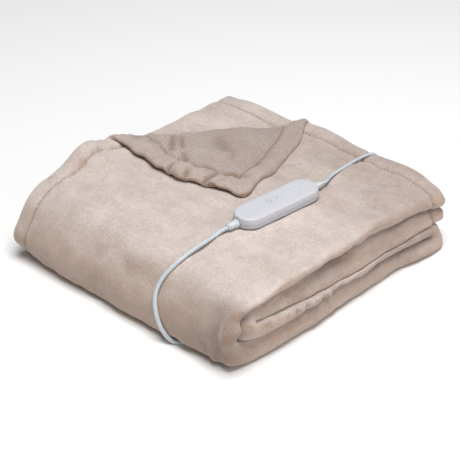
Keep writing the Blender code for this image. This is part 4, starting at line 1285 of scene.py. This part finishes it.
def makeSocket(materials):
    long, wide, tall = socket["size"]
    bm = bmesh.new()
    bmesh.ops.create_cube(bm, size=1.0)
    bmesh.ops.scale(bm, verts=bm.verts, vec=(long, wide, tall))
    bmesh.ops.bevel(bm, geom=bm.edges, offset=socket["edge"], segments=4, profile=0.5, affect="EDGES")
    bmesh.ops.translate(bm, verts=bm.verts, vec=(long / 2, 0, 0))
    flats = [f for f in bm.faces if abs(f.normal.z) > 0.99 and f.calc_area() > 1e-5]
    width, depth = socket["border"]
    bmesh.ops.inset_region(bm, faces=flats, thickness=width, depth=depth)
    place = Matrix.Translation(socket["place"])
    bmesh.ops.transform(bm, matrix=place, verts=bm.verts)
    body = addPiece("socketBody", meshFrom(bm, "socketBody"), materials["abs"])
    sharpenEdges(body, case["sharp"])
    profile = [(0.0041, -0.002), (0.0041, 0.0008)]
    for i in range(3):
        at, ridge = 0.0012 + 0.0028 * i, 0.0040 - 0.0002 * i
        profile += [(ridge, at), (ridge, at + 0.0016), (0.0034, at + 0.0018), (0.0034, at + 0.0024)]
    profile += [(0.0033, socket["sleeve"] - 0.0002), (0.0030, socket["sleeve"])]
    along = place @ Matrix.Translation((long, 0, 0)) @ Matrix.Rotation(math.pi / 2, 4, "Y")
    sleeve = spun("socketSleeve", profile, 20, along, materials["moulding"], case["sharp"])
    return body, sleeve


studio = {
    "floor": 6.0,  # half its side
    "key": ((-0.35, -0.55, 2.8), 1.8, 91),  # place, size in metres, watts
    "fill": ((-0.1, -2.2, 1.0), 1.8, 11),
    "world": 0.12,
}


def makeStudio():
    mesh = bpy.data.meshes.new("floor")
    far = studio["floor"]
    mesh.from_pydata([(-far, -far, 0), (far, -far, 0), (far, far, 0), (-far, far, 0)], [], [(0, 1, 2, 3)])
    material, tree, shader = newMaterial("matt white paper")
    where = addNode(tree, "ShaderNodeTexCoord").outputs["Object"]
    grain = addNode(tree, "ShaderNodeTexNoise", {"Vector": where, "Scale": 300.0, "Detail": 2.0})
    inputs = {"Factor": grain.outputs["Fac"], "A": hexColour("#FCFCFC"), "B": hexColour("#FAFAFA")}
    tone = addNode(tree, "ShaderNodeMix", inputs, data_type="RGBA")
    values = {"Base Color": tone.outputs["Result"], "Roughness": 1.0, "Specular IOR Level": 0.0}
    setInputs(tree, shader, values)
    floor = addPiece("floor", mesh, material, smooth=False)
    for name in ("key", "fill"):
        place, size, power = studio[name]
        data = bpy.data.lights.new(name, "AREA")
        data.shape, data.size, data.energy = "SQUARE", size, power
        lamp = bpy.data.objects.new(name, data)
        lamp.location = place
        lamp.rotation_euler = Vector(place).to_track_quat("Z", "Y").to_euler()
        scene.collection.objects.link(lamp)
    world = bpy.data.worlds.new("studio")
    world.use_nodes = True
    back = world.node_tree.nodes["Background"]
    back.inputs["Color"].default_value = (1, 1, 1, 1)
    back.inputs["Strength"].default_value = studio["world"]
    scene.world = world
    scene.view_settings.view_transform = "Standard"


makeCamera()
materials = makeMaterials()
mains, control = makeLeads(materials)
plugBody, plugSleeve, plugPins = makePlug(materials)
socketBody, socketSleeve = makeSocket(materials)
caseLower, caseUpper, levelLights, printedMarks = makeController(materials)
mainsRelief, controlRelief = makeReliefs(materials["moulding"])
blanket = makeBlanket(materials["flannel"])
stitches = makeStitches(materials["thread"])
makeStudio()

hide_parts("blanket")
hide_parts("controller_lower")
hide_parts("controller_upper")
for number, light in enumerate(levelLights, 1):
    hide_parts(f"level_light_{number}")
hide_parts("mains_relief")
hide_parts("blanket_relief")
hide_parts("mains_lead", "mains_coil")
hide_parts("blanket_lead")
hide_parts("plug_body")
for pin, node in zip(plugPins, ("plug_pin_left", "plug_pin_right")):
    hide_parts(node)
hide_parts("socket")

slots = {
    "cloth": (blanket, stitches),
    "case": (caseLower, caseUpper, socketBody),
    "lights": levelLights,
    "leads": (mains, control, mainsRelief, controlRelief, plugBody, plugSleeve, socketSleeve),
    "pins": plugPins,
}
for piece in (*(p for group in slots.values() for p in group), printedMarks):
    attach(piece, "root")
